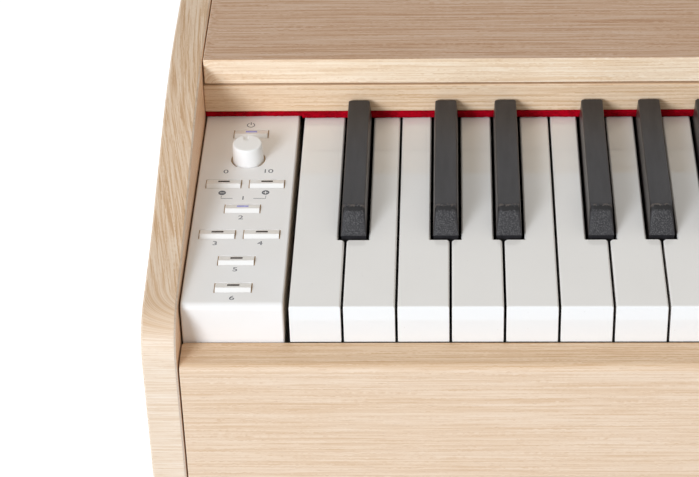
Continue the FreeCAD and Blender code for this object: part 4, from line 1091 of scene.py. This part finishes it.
POWER_X, POWER_Y = -635.9, -12.4
line_mark("power_sign", [
    stroke(arc((POWER_X, POWER_Y), 1.75, 118, 422), LINE_WIDTH),
    stroke([(POWER_X, POWER_Y + 2.3), (POWER_X, POWER_Y + 0.2)], LINE_WIDTH),
])
disc_mark("minus_sign", -645.5, -68.7, plus=False)
disc_mark("plus_sign", -625.5, -68.5, plus=True)
line_mark("bracket_line", [
    stroke([(-645.7, -71.0), (-645.7, -73.2), (-640.4, -73.2)], THIN_LINE),
    stroke([(-630.8, -73.2), (-625.2, -73.2), (-625.2, -71.0)], THIN_LINE),
])
for name, text, x, y in (
    ("knob_low_number", "0", -645.0, -51.6), ("knob_high_number", "10", -625.4, -51.3),
    ("bracket_number", "1", -635.6, -73.0), ("voice_number", "2", -635.6, -88.3),
    ("record_number", "3", -645.8, -108.0), ("play_number", "4", -625.6, -108.0),
    ("beat_number", "5", -635.4, -127.5), ("function_number", "6", -635.4, -148.1),
):
    number_mark(name, text, x, y)


# Camera

CAMERA_AT = Vector((-0.53932, -0.97954, 0.74687))
CAMERA_PITCH = math.radians(36.123)
CAMERA_YAW = math.radians(-2.808)
CAMERA_ROLL = math.radians(-1.796)
IMAGE_WIDTH = 699
FOCAL_PIXELS = 2426.022
CENTRE_OFFSET = 7.69
SENSOR_WIDTH = 36.0


def camera():
    data = bpy.data.cameras.new("camera")
    data.sensor_width = SENSOR_WIDTH
    data.lens = FOCAL_PIXELS * SENSOR_WIDTH / IMAGE_WIDTH
    data.shift_x = -CENTRE_OFFSET / IMAGE_WIDTH
    data.clip_start = 0.01
    data.clip_end = 100.0
    level = math.cos(CAMERA_PITCH)
    forward = Vector((math.sin(CAMERA_YAW) * level, math.cos(CAMERA_YAW) * level, -math.sin(CAMERA_PITCH)))
    right = forward.cross(Vector((0, 0, 1))).normalized()
    up = right.cross(forward)
    turned_right = right * math.cos(CAMERA_ROLL) + up * math.sin(CAMERA_ROLL)
    turned_up = up * math.cos(CAMERA_ROLL) - right * math.sin(CAMERA_ROLL)
    rotation = Matrix((turned_right, turned_up, -forward)).transposed().to_4x4()
    eye = bpy.data.objects.new("camera", data)
    eye.matrix_world = Matrix.Translation(CAMERA_AT) @ rotation
    bpy.context.scene.collection.objects.link(eye)
    bpy.context.scene.camera = eye


# One soft lamp and an even sky. The sky and the floor are white to camera, mirror and see-through rays

LAMP_TARGET = Vector((-0.45, -0.05, 0.10))
LAMP_SIDE = Vector((-0.45, -0.75, 0.35))
LAMP_DISTANCE = 4.0
LAMP_SIZE = 1.25
LAMP_POWER = 118.0
LAMP_TINT = (0.905, 0.99, 1.115)
SKY_LEVEL = 0.53
SKY_TINT = (1.0, 0.972, 0.915, 1.0)
WHITE = (1.0, 1.0, 1.0, 1.0)
DIRECT_RAYS = ("Is Camera Ray", "Is Glossy Ray", "Is Transmission Ray")
FLOOR_REACH = 8.0
FLOOR_ROWS = 24
FLOOR_GLOW = 0.68


def lamp():
    data = bpy.data.lights.new("key_light", "AREA")
    data.shape = "SQUARE"
    data.size = LAMP_SIZE
    data.energy = LAMP_POWER
    data.color = LAMP_TINT
    holder = bpy.data.objects.new("key_light", data)
    away = LAMP_SIDE.normalized()
    holder.location = LAMP_TARGET + away * LAMP_DISTANCE
    holder.rotation_euler = away.to_track_quat("Z", "Y").to_euler()
    bpy.context.scene.collection.objects.link(holder)


def direct_rays(tree):
    """1 for the rays that show the backdrop, 0 for those that light the object."""
    rays = tree.nodes.new("ShaderNodeLightPath").outputs
    seen = rays[DIRECT_RAYS[0]]
    for kind in DIRECT_RAYS[1:]:
        larger = tree.nodes.new("ShaderNodeMath")
        larger.operation = "MAXIMUM"
        tree.links.new(seen, larger.inputs[0])
        tree.links.new(rays[kind], larger.inputs[1])
        seen = larger.outputs[0]
    return seen


def sky():
    world = bpy.data.worlds.new("studio")
    bpy.context.scene.world = world
    world.use_nodes = True
    tree = world.node_tree
    background = tree.nodes["Background"]
    seen = direct_rays(tree)
    level = tree.nodes.new("ShaderNodeMapRange")
    level.inputs["To Min"].default_value = SKY_LEVEL
    level.inputs["To Max"].default_value = 1.0
    tree.links.new(seen, level.inputs["Value"])
    tree.links.new(level.outputs["Result"], background.inputs[1])
    tint = tree.nodes.new("ShaderNodeMix")
    tint.data_type = "RGBA"
    tint.inputs[6].default_value = SKY_TINT
    tint.inputs[7].default_value = WHITE
    tree.links.new(seen, tint.inputs[0])
    tree.links.new(tint.outputs[2], background.inputs[0])


def floor():
    """A pale plane that glows for direct rays only and keeps the object's shadow."""
    points, faces = [], []
    marks = [-FLOOR_REACH + 2 * FLOOR_REACH * step / FLOOR_ROWS for step in range(FLOOR_ROWS + 1)]
    for i, x in enumerate(marks):
        for j, y in enumerate(marks):
            points.append((x, y, 0.0))
            if i < FLOOR_ROWS and j < FLOOR_ROWS:
                first = i * (FLOOR_ROWS + 1) + j
                faces.append((first, first + FLOOR_ROWS + 1, first + FLOOR_ROWS + 2, first + 1))
    mesh = bpy.data.meshes.new("floor")
    mesh.from_pydata(points, [], faces)
    plane = bpy.data.objects.new("floor", mesh)
    bpy.context.scene.collection.objects.link(plane)
    shader = Shader("floor_pale", Roughness=0.9, Specular_IOR_Level=0.1)
    cloud = shader.noise(shader.place, 2.0, 2.0)
    shader.colour(shader.mix(cloud, (0.55, 0.55, 0.55), (0.58, 0.58, 0.58)))
    shader.surface.inputs["Emission Color"].default_value = WHITE
    glow = shader.times(direct_rays(shader.tree), FLOOR_GLOW)
    shader.feed(shader.surface.inputs["Emission Strength"], glow)
    mesh.materials.append(shader.material)


camera()
lamp()
sky()
floor()
bpy.context.scene.view_settings.view_transform = "Standard"
